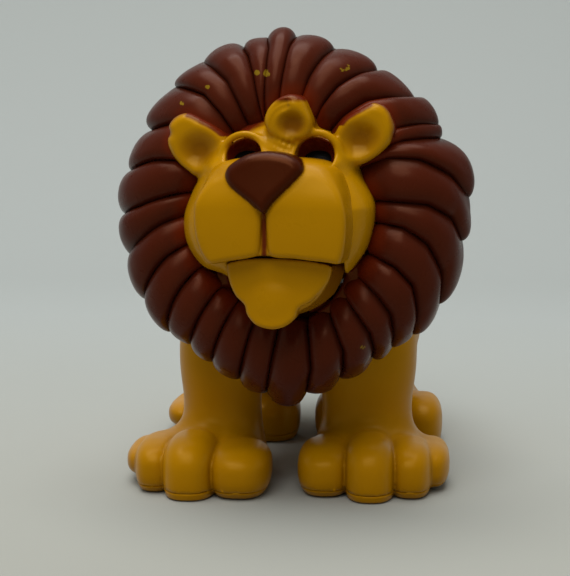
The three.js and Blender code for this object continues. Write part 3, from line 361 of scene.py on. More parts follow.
def leg(x, y, z, middle_x, half_width, middle_y, half_depth):
    """Distance to a leg: an upright squarish oval column, a little waisted above the paw."""
    waist = 1 - 0.075 * np.exp(-((z - ANKLE_Z) / 5) ** 2) + 0.02 * np.exp(-((z - CALF_Z) / 5) ** 2)
    top = np.maximum(z - LEG_ROUND_FROM_Z, 0) / LEG_ROUND_HEIGHT
    sideways, along = (x - middle_x) / (half_width * waist), (y - middle_y) / (half_depth * waist)
    across = np.abs(sideways) ** 2.3 + np.abs(along) ** 2.3
    return ((across + top ** 2.3) ** (1 / 2.3) - 1) * 8


def limb(x, y, z, side, end):
    """Distance to a leg with its paw."""
    paw = foot(x, y, z, TOES[side, end], PAW_Y[end], side)
    return merge(leg(x, y, z, *LEGS[side, end]), paw, ANKLE_FILLET)


def body_half(x, y, z, side):
    """Distance to one half of the body: torso, collar, shoulder, haunch, two legs and two paws."""
    taper = 0.05 * np.clip(y + 16, 0, 6) ** 2
    collar = trim(np.sqrt(x ** 2 + (z - NECK_Z) ** 2) - COLLAR_RADIUS + taper,
                  np.abs(y - COLLAR_MIDDLE_Y) - COLLAR_HALF_LENGTH, COLLAR_EDGE)
    whole = merge(torso(x, y, z), collar, COLLAR_FILLET)
    for (middle_x, middle_y, middle_z), radii in (SHOULDER, HAUNCH):
        whole = merge(whole, ball(x, y, z, (side * middle_x, middle_y, middle_z), radii), BODY_FILLET)
    for end in ("front", "rear"):
        whole = merge(whole, limb(x, y, z, side, end), BODY_FILLET)
    return whole


def crease(field, points, reach):
    """How deep in a crease each point lies, from 0 on open surface to 1: the share by which the
    distance grows too slowly when stepping out from the surface by the given reach."""
    slope = slopes(field, points, 0.05)
    outward = slope / np.maximum(np.linalg.norm(slope, axis=1), 1e-6)[:, None]
    return ramp(1 - field(*(points + reach * outward).T) / reach)


def paint(made, name, values):
    """A named value at every point of a piece, which its material reads."""
    layer = made.data.attributes.new(name, "FLOAT", "POINT")
    layer.data.foreach_set("value", np.ascontiguousarray(values, np.float32))


def moulded_yellow(name, light, dark, roughness, crease_shade_share, shine):
    """Moulded plastic, coloured through: a slow drift between two close yellows, an orange-brown
    painted shade in the creases that stands for light bounced within the plastic, a brown-yellow
    painted shade where the shade mask is set, brown where the mane's paint has reached it, a warm
    reflection, an uneven gloss, and the faint flow marks of moulding."""
    material, shader, place = new_material(name)
    drift, mist, gloss, flow = (
        add_node(material, "TexNoise", values={"Scale": scale, "Detail": detail},
                 links={"Vector": place}).outputs["Fac"]
        for scale, detail in ((110.0, 3.0), (700.0, 4.0), (260.0, 5.0), (480.0, 3.0)))
    fold, shade, spray, brown = (
        add_node(material, "Attribute", {"attribute_name": mask}).outputs["Fac"]
        for mask in ("crease", "shade", "overspray", "brown"))
    # The creases' painted shade, from none on open surface to its fullest deep in a crease
    depth = add_node(material, "MapRange", values={1: 0.15, 2: 0.9, 3: 0.0, 4: crease_shade_share}, links={0: fold})
    uneven = add_node(material, "Math", {"operation": "MULTIPLY_ADD"}, {1: 0.5, 2: -0.25}, {0: mist})
    settled = add_node(material, "Math", {"operation": "ADD"}, links={0: uneven.outputs[0], 1: spray})
    sprayed = add_node(material, "MapRange", values={1: 0.28, 2: 0.92, 3: 0.0, 4: 1.0},
                       links={0: settled.outputs[0]})
    colour = add_node(material, "Mix", {"data_type": "RGBA"}, {6: linear(dark), 7: linear(light)}, {0: drift})
    # Painted shade goes on first: orange-brown in the creases, brown-yellow where the shade mask is set
    for share, over in ((depth.outputs[0], "#5e3000"), (shade, "#744200"),
                        (sprayed.outputs[0], "#5e1b07"), (brown, "#340c02")):
        colour = add_node(material, "Mix", {"data_type": "RGBA"}, {7: linear(over)},
                          {0: share, 6: colour.outputs[2]})
    tint = add_node(material, "Mix", {"data_type": "RGBA"}, {6: linear("#ffd070"), 7: linear("#ffa468")},
                    {0: brown})
    dull = add_node(material, "MapRange", links={0: gloss},
                    values={1: 0.3, 2: 0.7, 3: roughness - 0.05, 4: roughness + 0.06})
    relief = add_node(material, "Bump", values={"Strength": 0.25, "Distance": 0.00005},
                      links={"Height": flow})
    set_node(material, shader, {"IOR": 1.5, "Specular IOR Level": shine},
             {"Base Color": colour.outputs[2], "Roughness": dull.outputs[0],
              "Normal": relief.outputs["Normal"], "Specular Tint": tint.outputs[2]})
    return material


# The body's plastic looks soft and waxy: broad dim highlights on a deep yellow
body_yellow = moulded_yellow("satin_yellow_vinyl", "#ba8100", "#af7800", 0.34, 0.5, 0.26)


def crisp_edge(points, whole, level, near):
    """Points close to where a shape is cut level, moved exactly onto the edge of the cut: first to
    its height, then sideways along the shape's slope until they lie on its surface."""
    close = (np.abs(points[:, 2] - level) < near) & (np.abs(whole(*points.T)) < near)
    edge = points[close]
    edge[:, 2] = level
    for _ in range(4):
        value = whole(*edge.T)
        slope = np.stack([(whole(*(edge + 0.02 * way).T) - value) / 0.02 for way in np.eye(3)[:2]], axis=1)
        edge[:, :2] -= value[:, None] * slope / np.maximum((slope ** 2).sum(axis=1), 0.2)[:, None]
    points[close] = edge
    return points


def belongs(made, body, slot, *nodes):
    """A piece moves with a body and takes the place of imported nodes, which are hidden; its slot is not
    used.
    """
    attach(made, body)
    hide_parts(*nodes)


def add_skin(name, field, low, high, step, place, material, body, nodes, slot, reach=1.2, cut_edge=None):
    """A piece from a distance field: its surface, its creases, its place, its finish and its body."""
    points, faces = skin(field, low, high, step)
    if cut_edge:
        points = crisp_edge(points, *cut_edge, step * 0.55)
    made = make_object(name, place(points), faces, material)
    # How deep in a crease each point lies, which its material turns into painted shade
    paint(made, "crease", crease(field, points, reach))
    belongs(made, body, slot, *nodes)
    return made, points


for word, side in SIDES.items():
    def whole_half(x, y, z, side=side):
        """One half of the body with its soles, not yet cut."""
        return body_half(x, y, z, side)

    def half(x, y, z, side=side):
        """One half of the body above its soles, cut flat at the middle seam."""
        whole = whole_half(x, y, z)
        if side < 0:
            for screw_y, screw_z in BODY_SCREWS:
                round_seat = np.sqrt((y - screw_y) ** 2 + (z - screw_z) ** 2) - SCREW_SEAT_RADIUS
                whole = cut(whole, np.maximum(round_seat, x - SCREW_SEAT_X), 0.5)
        whole = trim(whole, SEAM_GAP / 2 - side * x, 0.3)
        return np.maximum(whole, SOLE_TOP + SOLE_GAP - z)

    low_x, high_x = sorted((0.0, side * 31.0))
    add_skin(f"{word}_body_half", half, (low_x - 0.6, -43, SOLE_TOP - 0.9), (high_x + 0.6, 32, 54),
             BODY_GRID * COARSER, on_body, body_yellow, "stance", [f"body_{word}_shell"], "yellow_plastic",
             reach=0.8, cut_edge=(whole_half, SOLE_TOP + SOLE_GAP))

# Soles
# Each paw is closed from below by a glued plate of the same yellow plastic, 1.6 mm thick, so a fine
# parting line runs round the toes just above the floor.
SOLE_GRID = 0.3
for word, side in SIDES.items():
    for end, paw_y in PAW_Y.items():
        def whole_limb(x, y, z, side=side, end=end):
            """The leg with its paw, not yet cut."""
            return limb(x, y, z, side, end)

        def plate(x, y, z):
            """The lowest slice of a paw."""
            below = np.maximum(whole_limb(x, y, z), z - (SOLE_TOP - SOLE_GAP))
            return trim(below, -z, FLOOR_EDGE)

        low_x, high_x = sorted((side * 0.4, side * 31.0))
        add_skin(f"{end}_{word}_sole_plate", plate, (low_x, paw_y - 18, -0.5), (high_x, paw_y + 17, 3.6),
                 SOLE_GRID * COARSER, on_body, body_yellow, "stance", [f"{end}_{word}_sole"],
                 "yellow_plastic", reach=0.8, cut_edge=(whole_limb, SOLE_TOP - SOLE_GAP))

# Tail
# A thin yellow stalk moulded in one with its tuft, trapped by a flange inside the rump. The tuft is a
# drop of twisted locks painted brown like the mane.
TAIL_POINTS = np.array([[0, 26.5, 36.55], [0, 28.5, 36.55], [0, 31.35, 36.3], [0.54, 34.6, 32.6],
                        [2.7, 34.9, 25.6], [6.2, 34.4, 18.4], [8.8, 33.1, 11.4]])
TAIL_RADIUS, TUFT_RADIUS, TUFT_LOCKS, TUFT_TWIST = 1.9, 3.3, 8, 9.0
STALK_TO, TUFT_FROM = 0.86, 0.7
TUBE_SIDES = 96


def through(t, keys, values):
    """A smooth curve through values at keys: cubic pieces whose slopes are the neighbours' mean."""
    keys, values = np.asarray(keys, float), np.asarray(values, float)
    slopes = np.gradient(values, keys, axis=0)
    i = np.clip(np.searchsorted(keys, t, side="right") - 1, 0, len(keys) - 2)
    width = keys[i + 1] - keys[i]
    u = ramp((t - keys[i]) / width)
    if values.ndim > 1:
        u, width = u[..., None], width[..., None]
    a, b = values[i], values[i + 1]
    return (a * (1 + 2 * u) * (1 - u) ** 2 + b * (3 - 2 * u) * u ** 2
            + slopes[i] * width * u * (1 - u) ** 2 - slopes[i + 1] * width * (1 - u) * u ** 2)


def ring_faces(rows, columns):
    """Faces of a closed tube of rows, plus two fans to the last two points, which close its ends."""
    i, j = np.meshgrid(np.arange(rows - 1), np.arange(columns), indexing="ij")
    a, b = i * columns + j, i * columns + (j + 1) % columns
    side_faces = np.stack([a, b, b + columns, a + columns], axis=-1).reshape(-1, 4)
    j = np.arange(columns)
    first = np.stack([(j + 1) % columns, j, np.full(columns, rows * columns)], axis=1)
    base = (rows - 1) * columns
    last = np.stack([base + j, base + (j + 1) % columns, np.full(columns, rows * columns + 1)], axis=1)
    return side_faces.tolist() + first.tolist() + last.tolist()


def with_middles(grid):
    """The points of rows of rings, and after them the middles of the first and the last ring."""
    return np.concatenate([grid.reshape(-1, 3), grid[0].mean(axis=0)[None], grid[-1].mean(axis=0)[None]])


def make_rows(name, grid, material, turned=False):
    """A closed piece from rows of points, each row a ring; both ends are closed to their middles."""
    faces = ring_faces(*grid.shape[:2])
    if turned:
        faces = [face[::-1] for face in faces]
    return make_object(name, with_middles(grid), faces, material)


def tube(t, radius, twist=0.0, ridges=0, ridge_height=0.0):
    """Rings round the tail's path: a circle of the given radius across the path at each t, its
    radius lifted by rounded ridges that twist as they run down."""
    keys = np.linspace(0, 1, len(TAIL_POINTS))
    middle, after, before = (through(ramp(t + step), keys, TAIL_POINTS) for step in (0, 0.01, -0.01))
    ahead = after - before
    ahead /= np.linalg.norm(ahead, axis=1)[:, None]
    across = np.cross(ahead, np.array([1.0, 0.0, 0.0]))
    across /= np.linalg.norm(across, axis=1)[:, None]
    up = np.cross(ahead, across)
    turn = np.linspace(0, 2 * math.pi, TUBE_SIDES + 1)[:-1]
    wave = np.abs(np.sin((turn * ridges + twist * t[:, None]) / 2))
    size = radius[:, None] * (1 + ridge_height * (np.sqrt(wave) - 0.7))
    ring = np.cos(turn)[:, None] * across[:, None] + np.sin(turn)[:, None] * up[:, None]
    return middle[:, None] + size[..., None] * ring


# The stalk thickens where it passes through the rump's wall, and ends inside the tuft
stalk_t = np.linspace(0, STALK_TO, 70)
stalk_radius = TAIL_RADIUS * (1 + 0.35 * np.exp(-((stalk_t - 0.3) / 0.06) ** 2))
stalk_rings = tube(stalk_t, np.where(stalk_t < 0.02, TAIL_RADIUS * 0.9, stalk_radius))
stalk = make_rows("tail_cord", on_body(stalk_rings), body_yellow)
belongs(stalk, "stance", "yellow_plastic", "tail")

# Brown paint sprayed over yellow plastic looks like a glossy red-brown skin: a painted shade darkens
# the grooves; it is redder where it is thin, finely rippled, with small chips where the yellow-green
# undercoat shows.
brown_paint, brown_shader, brown_place = new_material("brown_enamel")
brown_drift, chip_edge, brown_gloss, brown_ripple = (
    add_node(brown_paint, "TexNoise", values={"Scale": scale, "Detail": detail},
             links={"Vector": brown_place}).outputs["Fac"]
    for scale, detail in ((90.0, 4.0), (1000.0, 3.0), (300.0, 5.0), (420.0, 4.0)))
groove, chip, thin = (
    add_node(brown_paint, "Attribute", {"attribute_name": mask}).outputs["Fac"]
    for mask in ("groove", "chip", "thin"))
# The grooves between the locks get a painted shade
groove_shade = add_node(brown_paint, "MapRange", values={1: 0.15, 2: 1.0, 3: 0.0, 4: 0.75},
                        links={0: groove})
chip_sum = add_node(brown_paint, "Math", {"operation": "MULTIPLY"}, links={0: chip, 1: chip_edge})
chip_on = add_node(brown_paint, "MapRange", values={1: 0.4, 2: 0.45, 3: 0.0, 4: 1.0},
                   links={0: chip_sum.outputs[0]})
brown_colour = add_node(brown_paint, "Mix", {"data_type": "RGBA"},
                        {6: linear("#3f1408"), 7: linear("#49190b")}, {0: brown_drift})
for share, over in ((groove_shade.outputs[0], "#220b04"), (chip_on.outputs[0], "#7d6313"), (thin, "#621c04")):
    brown_colour = add_node(brown_paint, "Mix", {"data_type": "RGBA"}, {7: linear(over)},
                            {0: share, 6: brown_colour.outputs[2]})
brown_rough = add_node(brown_paint, "MapRange", values={1: 0.3, 2: 0.7, 3: 0.23, 4: 0.36},
                       links={0: brown_gloss})
brown_relief = add_node(brown_paint, "Bump", values={"Strength": 0.35, "Distance": 0.00006},
                        links={"Height": brown_ripple})
set_node(brown_paint, brown_shader,
         {"IOR": 1.5, "Specular IOR Level": 0.16, "Specular Tint": linear("#ffb890")},
         {"Base Color": brown_colour.outputs[2], "Roughness": brown_rough.outputs[0],
          "Normal": brown_relief.outputs["Normal"]})

# The tuft swells and closes again round the end of the stalk
tuft_t = np.linspace(TUFT_FROM, 1.0, 60)
tuft_share = (tuft_t - TUFT_FROM) / 0.3
tuft_radius = TUFT_RADIUS * np.sin(np.pi * tuft_share ** 0.75 * 0.985 + 0.02) ** 0.62 + 0.12
tuft_rings = tube(tuft_t, tuft_radius, TUFT_TWIST, TUFT_LOCKS, 0.2)
tuft = make_rows("tail_tuft", on_body(tuft_rings), brown_paint)
belongs(tuft, "stance", "brown_paint", "tail")

# Mane
# The front and back halves of the head are two brown-painted dishes, screwed together, that meet at
# the rim. Their moulded locks start at the face and run outwards, each one a rounded ridge between
# two tight grooves, and droop towards the chin.
HEAD_Z, SEAM_Y, MANE_GAP = 47.55, -37.0, 0.08
MANE_INNER, NECK_OPENING, LOCK_START = 14.5, 11.5, 16
LOCK_LOW, LOCK_HIGH = 0.5, 1.75
PROFILE_WIDTH, FRONT_ROWS, BACK_ROWS, COLUMNS, SHARP_ANGLE = 15, 84, 60, 20, 48

# Each groove's angle in degrees, clockwise from the top as seen from the front, at five stations
# from the face to the rim
STATIONS = [0, 0.3, 0.6, 0.85, 1]
GROOVES = np.array([
    [-8.9, -7.6, -6, -5.4, -6.8], [-1.6, -0.4, 0.8, 1.4, 2.1], [8.4, 9.5, 10.8, 12.9, 14.8],
    [18.2, 19.5, 22.4, 27, 30.9], [27.5, 30.3, 34.8, 42, 46], [46.5, 47.8, 50, 54, 57],
    [50.6, 52.3, 55.3, 58.9, 61.1], [55, 58, 64.6, 73.5, 82], [76, 79.2, 82, 87.5, 96],
    [89, 91, 96.9, 106.5, 118.3], [108.5, 109.8, 114.5, 124.2, 132], [124.5, 125.9, 128.9, 135.2, 140.3],
    [138.5, 139.2, 140.4, 144, 148.3], [151.5, 152.2, 153.6, 157.8, 162.4],
    [165.8, 166.5, 168.2, 171.9, 174.7], [181.6, 183.1, 184.8, 186.3, 187.2],
    [196, 196.1, 196.3, 196.8, 197.3], [210, 209.6, 208.9, 208.4, 208.3],
    [223.9, 222, 220.1, 218.9, 218.2], [241.3, 237.4, 232.9, 229, 226.6], [257.4, 253.6, 247.8, 243.2, 240.7],
    [273.7, 269.2, 263.3, 259.2, 256.9], [287.9, 281.9, 276.4, 273, 271.3], [305, 301, 295.5, 289.4, 286.4],
    [319.5, 317.9, 314.5, 306, 302.2], [332, 331.2, 328.6, 322.4, 318.8], [341, 340.2, 338.6, 334.2, 331.1],
    [349.8, 349.5, 349, 347.4, 344.9],
])

# Radius at the rim of each groove and of each lock's tip, and the tip's place between two grooves
GROOVE_RIM = np.array([30.0, 29.61, 28.74, 28.04, 28.62, 29.07, 28.22, 29.8, 28.6, 28.29, 27.66, 27.02,
                      26.54, 27.26, 28.87, 29.21, 28.0, 27.41, 26.91, 27.93, 28.22, 28.05, 28.11, 27.91,
                      27.41, 29.09, 29.67, 29.05])
TIP_RIM = np.array([31.56, 30.46, 29.64, 29.28, 30.0, 28.9, 31.26, 29.9, 29.63, 28.95, 27.66, 27.63, 28.31,
                   29.51, 31.42, 29.78, 28.75, 27.98, 27.68, 28.97, 29.14, 29.25, 29.59, 29.06, 29.68,
                   30.03, 30.73, 30.32])
TIP_PLACE = np.array([0.54, 0.41, 0.51, 0.35, 0.4, 0.55, 0.62, 0.6, 0.55, 0.55, 0.45, 0.6, 0.6, 0.54, 0.46,
                     0.4, 0.38, 0.42, 0.4, 0.4, 0.42, 0.6, 0.5, 0.35, 0.35, 0.35, 0.55, 0.5])

# Outlines of the two dishes from the face, or the neck, to the rim: share of the radius, and depth
FRONT_PROFILE = np.array([[0, -42.5], [0.06, -44.3], [0.16, -45.4], [0.33, -46.2], [0.5, -46.1],
                         [0.66, -45.2], [0.8, -43.7], [0.91, -41.7], [0.975, -39.8], [1.0, -38.4],
                         [0.985, -37.1]])
BACK_PROFILE = np.array([[0, -29.15], [0.2, -29.1], [0.42, -29.8], [0.62, -30.9], [0.8, -32.4],
                        [0.92, -34.2], [0.98, -35.6], [0.985, -36.9]])

# Chips in the paint: the photograph's pixel that each one shows at, and its radius
CHIPS = [(257, 72, 0.62), (267, 73, 0.8), (342, 68, 0.85), (347, 67, 0.7), (207, 87, 0.55), (182, 103, 0.5),
         (363, 347, 0.62)]


def on_head(points):
    """Points measured from the middle of the mane in the head's own directions, put in the model's
    frame: moved to the neck pin, turned with the head about it, and set on the pin's place."""
    x, y, z = np.moveaxis(points + np.array([0, -NECK_Y, HEAD_Z - NECK_Z]), -1, 0)
    cosine, sine = math.cos(HEAD_TURN), math.sin(HEAD_TURN)
    return np.stack([cosine * x - sine * y, sine * x + cosine * y, z], axis=-1) + neck


def mane_rows(profile, steps, forward, inner_at, step_back=0.0, shrink=1.0, lift_share=0.3):
    """Rings of a maned dish. A point's angle runs evenly between two grooves, whose own angles
    change from the face to the rim. Its radius and depth follow the profile, and the rounded ridge
    of its lock lifts it along the profile's normal. Also gives how deep in a groove it lies."""
    locks = len(GROOVES)
    share, depth = through(np.linspace(0, len(profile) - 1, steps), np.arange(len(profile)), profile).T
    slope = np.gradient(np.stack([share * PROFILE_WIDTH, depth], axis=1), axis=0)
    slope /= np.linalg.norm(slope, axis=1)[:, None]
    normal_r, normal_y = forward * slope[:, 1], -forward * slope[:, 0]
    part = np.tile(0.5 - 0.5 * np.cos(np.pi * np.arange(COLUMNS) / COLUMNS), locks)
    lock = np.repeat(np.arange(locks), COLUMNS)
    after = (lock + 1) % locks
    wrap = 360.0 * (lock + 1 == locks)
    bent = part ** (math.log(0.5) / np.log(np.clip(TIP_PLACE[lock], 0.36, 0.64)))
    crown = (1 - np.abs(2 * bent - 1) ** 2.3) ** 0.7
    rim = (GROOVE_RIM[lock] * (1 - part) + GROOVE_RIM[after] * part) * shrink
    inner = inner_at(np.radians(GROOVES[lock, 0] * (1 - part) + (GROOVES[after, 0] + wrap) * part))
    radius = inner[None] + (rim - inner)[None] * share[:, None]
    station = ramp((radius - LOCK_START) / (rim[None] - LOCK_START))
    turns = np.stack([np.interp(station, STATIONS, row) for row in GROOVES])
    rows, columns = np.meshgrid(np.arange(steps), np.arange(len(lock)), indexing="ij")
    here = turns[lock[columns], rows, columns]
    there = turns[after[columns], rows, columns] + wrap[None]
    angle = np.radians(here * (1 - part) + there * part + step_back)
    tall = np.clip(lift_share * (np.radians(there - here) * radius), LOCK_LOW, LOCK_HIGH)
    at_rim = ramp((share[:, None] - 0.8) / 0.2) ** 1.5
    tip_rise = np.maximum((TIP_RIM * shrink)[lock] - rim, 0.5)[None]
    tall = tall * (1 - at_rim) + tip_rise * at_rim
    tall = tall * ramp(share[:, None] / 0.1 + 0.35)
    lift = tall * crown[None]
    r = radius + lift * normal_r[:, None]
    y = depth[:, None] + lift * normal_y[:, None]
    points = np.stack([r * np.sin(angle), y, r * np.cos(angle)], axis=-1)
    deep = np.broadcast_to(ramp(1 - crown / 0.75), r.shape)
    return points, deep


def front_inner(angle):
    """Where the front locks start: a circle round the face, closer in beside the jaw and further out
    below it."""
    turn = np.degrees(angle)
    return MANE_INNER - 1.1 * np.exp(-(((turn - 165) / 52) ** 4)) + 2.7 * np.exp(-(((turn - 168) / 30) ** 2))


def flat_row(columns, radius, y, like):
    """A ring at one depth with the angles of another ring, seen from the front."""
    angle = np.arctan2(like[:, 0], like[:, 2])
    return np.stack([radius * np.sin(angle), np.full(columns, y), radius * np.cos(angle)], axis=-1)


front_locks, front_deep = mane_rows(FRONT_PROFILE, FRONT_ROWS, 1, front_inner)
columns = front_locks.shape[1]
start_rows = [flat_row(columns, r, y, front_locks[0])
              for r, y in ((3, -39.4), (13.2, -39.4), (13.9, -40.2))]
end_rows = [flat_row(columns, r, SEAM_Y - in_front, front_locks[-1])
            for r, in_front in ((25.5, MANE_GAP), (12, 1.5), (3, 1.5))]
front_grid = np.concatenate([start_rows, front_locks, end_rows])
front_mane = make_rows("mane_front", on_head(front_grid), brown_paint)
front_mane.data.set_sharp_from_angle(angle=math.radians(SHARP_ANGLE))
front_flat = with_middles(front_grid)


def head_ray(u, v):
    """Where the line of sight through a pixel of the photograph goes, in the head's own frame."""
    right, up, ahead = (u - PHOTO_WIDTH / 2) / FOCAL_PIXELS, (PHOTO_HEIGHT / 2 - v) / FOCAL_PIXELS, -1.0
    y = up * math.cos(camera_tilt) - ahead * math.sin(camera_tilt)
    z = up * math.sin(camera_tilt) + ahead * math.cos(camera_tilt)
    cosine, sine = math.cos(camera_pan), math.sin(camera_pan)
    way = np.array([right * cosine - y * sine, right * sine + y * cosine, z])
    cosine, sine = math.cos(-HEAD_TURN), math.sin(-HEAD_TURN)
    turn = np.array([[cosine, -sine, 0], [sine, cosine, 0], [0, 0, 1]])
    return turn @ (CAMERA_AT - neck) + np.array([0, NECK_Y, NECK_Z - HEAD_Z]), turn @ way


# How deep in a groove each point lies, which the paint turns into painted shade
paint(front_mane, "groove", np.concatenate([
    np.zeros(3 * columns), front_deep.reshape(-1), np.zeros(3 * columns), [0, 0]]))
chips = np.zeros(len(front_flat))
for u, v, size in CHIPS:
    start, way = head_ray(u, v)
    way /= np.linalg.norm(way)
    gap = front_flat - start
    miss = np.linalg.norm(gap - (gap @ way)[:, None] * way, axis=1)
    chips = np.maximum(chips, np.where(front_flat[:, 1] < -38.5, ramp(1.5 - miss / size), 0))
paint(front_mane, "chip", chips)
belongs(front_mane, "head", "brown_paint", "head_front_shell")


def opening_radius(angle):
    """Distance from the mane's middle to the round neck opening, whose own middle is lower."""
    drop = NECK_Z - HEAD_Z
    along = drop * np.cos(angle)
    return along + np.sqrt(NECK_OPENING ** 2 - drop ** 2 + along ** 2)


back_locks, back_deep = mane_rows(
    BACK_PROFILE, BACK_ROWS, -1, opening_radius, step_back=4.5, shrink=0.965, lift_share=0.26)
angles = np.arctan2(back_locks[0][:, 0], back_locks[0][:, 2])
wall = opening_radius(angles)
inside_rows = [np.stack([wall * np.sin(angles), np.full(columns, y), wall * np.cos(angles)], axis=-1)
               for y in (SEAM_Y + MANE_GAP, -30.2)]
rim_row = flat_row(columns, 25.5, SEAM_Y + MANE_GAP, back_locks[-1])
back_grid = np.concatenate([back_locks, [rim_row], inside_rows])
rows = len(back_grid)
i, j = np.meshgrid(np.arange(rows), np.arange(columns), indexing="ij")
a, b = i * columns + j, i * columns + (j + 1) % columns
c, d = ((i + 1) % rows) * columns + (j + 1) % columns, ((i + 1) % rows) * columns + j
back_faces = np.stack([a, d, c, b], axis=-1).reshape(-1, 4)
back_mane = make_object("mane_back", on_head(back_grid.reshape(-1, 3)), back_faces, brown_paint)
back_mane.data.set_sharp_from_angle(angle=math.radians(SHARP_ANGLE))
# How deep in a groove each point lies, which the paint turns into painted shade
paint(back_mane, "groove", np.concatenate([back_deep.reshape(-1), np.zeros(3 * columns)]))
belongs(back_mane, "head", "brown_paint", "head_back_shell")

# Face
# The face is moulded in one with the front of the mane and keeps the plastic's yellow: cheeks, brow
# with a raised rim over each eye, a curl on the forehead, two cupped ears, and the cup round the jaw.
# These shapes flow into each other, so they are one surface worked out from their distances.
FACE_GRID = 0.3
JAW_MIDDLE_X, JAW_BLOCK_X, JAW_BLOCK_Z, JAW_BLOCK = 1.1, 1.75, -5.0, (8.9, 9.8)
JAW_PIN_Y, JAW_PIN_Z = -42.0, -9.4
FACE_FRONT_Y, FACE_BACK_Y, FACE_EDGE, FACE_DEPTH = -53.4, -37.7, 5.0, 17.8
EAR_FRONT_Y, EAR_EDGE, EAR_THICKNESS, EAR_CUP_Y, EAR_CUP = -49.4, 1.5, 4.6, -50.7, (3.4, 2.7, 3.0)
CURL_FRONT_Y, CURL_EDGE, CURL_DEPTH, CURL_LINES = -52.3, 1.7, 8, (2.95, 3.75)
BROW, BRIDGE = ((0.4, -43.5, 9.5), (11.2, 8.2, 7.6)), ((0.8, -48.2, 12.6), (2.8, 3.4, 2.6))
SOCKET_FRONT_Y, SOCKET_DEPTH = -51.0, 4.6
CUP_RIM, CUP_MIDDLE_Y, CUP_HALF_LENGTH, CUP_TOP_Z = (11.2, 13.2), -41.5, 3.6, -5.5
PIN_BOSS_RADIUS, PIN_BOSS_REACH = 2.5, 11.3
POCKET_SPARE, POCKET_MIDDLE_Y, POCKET_HALF_LENGTH, POCKET_TOP_Z = (0.35, 1.9), -52.9, 7.6, -4.7
HOLE_RADII, HOLE_MIDDLE_Y, HOLE_HALF_LENGTH = (9.0, 10.2), -46, 2
ARM_ROOM = ((JAW_BLOCK_X, -41.9, -8.7), (8.1, 2.4, 3.7))

# The muzzle and jaw are a little shinier than the body, and the face is the glossiest of all. Their yellows
# are a little darker than the body's, most of all the muzzle's and jaw's: a painted shade.
head_yellow = moulded_yellow("glossy_yellow_vinyl", "#ae7900", "#a47100", 0.3, 0.25, 0.26)
face_yellow = moulded_yellow("polished_yellow_vinyl", "#b47e00", "#aa7600", 0.25, 0.22, 0.3)


def smooth_outline(corners, each=6):
    """A closed curve through the corners: cubic pieces whose slope at a corner is half the step
    between its two neighbours."""
    corners = np.array(corners, float)
    before, after, beyond = (np.roll(corners, -k, axis=0) for k in (-1, 1, 2))
    t = np.linspace(0, 1, each, endpoint=False)[None, :, None]
    a, b = corners[:, None], after[:, None]
    slope_a, slope_b = (after - before)[:, None] / 2, (beyond - corners)[:, None] / 2
    curve = (a * (1 + 2 * t) * (1 - t) ** 2 + b * (3 - 2 * t) * t ** 2 + slope_a * t * (1 - t) ** 2
             - slope_b * t ** 2 * (1 - t))
    return curve.reshape(-1, 2)


def plate_distance(a, b, corners):
    """Distance in a plane to the outline through the corners, below zero inside it: the least
    distance to its sides, with a sign from how many sides a ray to the right crosses."""
    shape = np.broadcast_shapes(np.shape(a), np.shape(b))
    best, odd = np.full(shape, 1e9), np.zeros(shape, bool)
    for (x0, z0), (x1, z1) in zip(corners, np.roll(corners, -1, axis=0)):
        dx, dz = x1 - x0, z1 - z0
        t = ramp(((a - x0) * dx + (b - z0) * dz) / (dx * dx + dz * dz + 1e-12))
        best = np.minimum(best, (a - x0 - t * dx) ** 2 + (b - z0 - t * dz) ** 2)
        spans = (z0 > b) != (z1 > b)
        odd = odd ^ (spans & (a < x0 + (b - z0) * dx / (dz if dz else 1e-9)))
    return np.where(odd, -1, 1) * np.sqrt(best)


def pad(x, y, z, corners, front, rounding, depth):
    """Distance to a slab with the outline's shape, its front at the given depth, its edges rounded."""
    across = plate_distance(x, z, corners) + rounding
    along = np.maximum(front - y, y - front - depth) + rounding
    across, along = np.broadcast_arrays(across, along)
    outside = np.hypot(np.maximum(across, 0), np.maximum(along, 0))
    return outside + np.minimum(np.maximum(across, along), 0) - rounding


# Outlines seen from the front: X and Z from the middle of the mane
CHEEKS = smooth_outline([(-9.3, -8.0), (-12.7, -6.9), (-15.4, -3.6), (-16.1, 0.4), (-15.0, 4.0), (-12.8, 7.8),
                         (-9.0, 11.5), (8.5, 12.0), (12.0, 8.9), (14.8, 4.6), (15.2, 1.5), (14.3, -2.8),
                         (12.7, -5.6), (10.9, -7.6), (7.5, -9.0), (0.5, -10.0), (-6.0, -9.2)])
LEFT_EAR = smooth_outline([(-18.0, 15.6), (-17.3, 16.7), (-16.0, 17.5), (-14.4, 17.6), (-12.2, 16.6),
                          (-9.9, 15.3), (-8.3, 13.4), (-9.5, 9.6), (-13.0, 7.7), (-15.1, 8.7),
                          (-16.9, 10.3), (-18.0, 12.1), (-18.2, 13.5), (-17.8, 14.4)])
RIGHT_EAR = smooth_outline([(9.2, 15.1), (10.5, 16.9), (12.85, 18.35), (15.0, 19.3), (16.9, 18.6),
                           (18.0, 16.8), (18.35, 15.0), (17.5, 12.9), (15.2, 10.8), (12.6, 9.6),
                           (9.5, 10.2), (8.4, 12.6)])

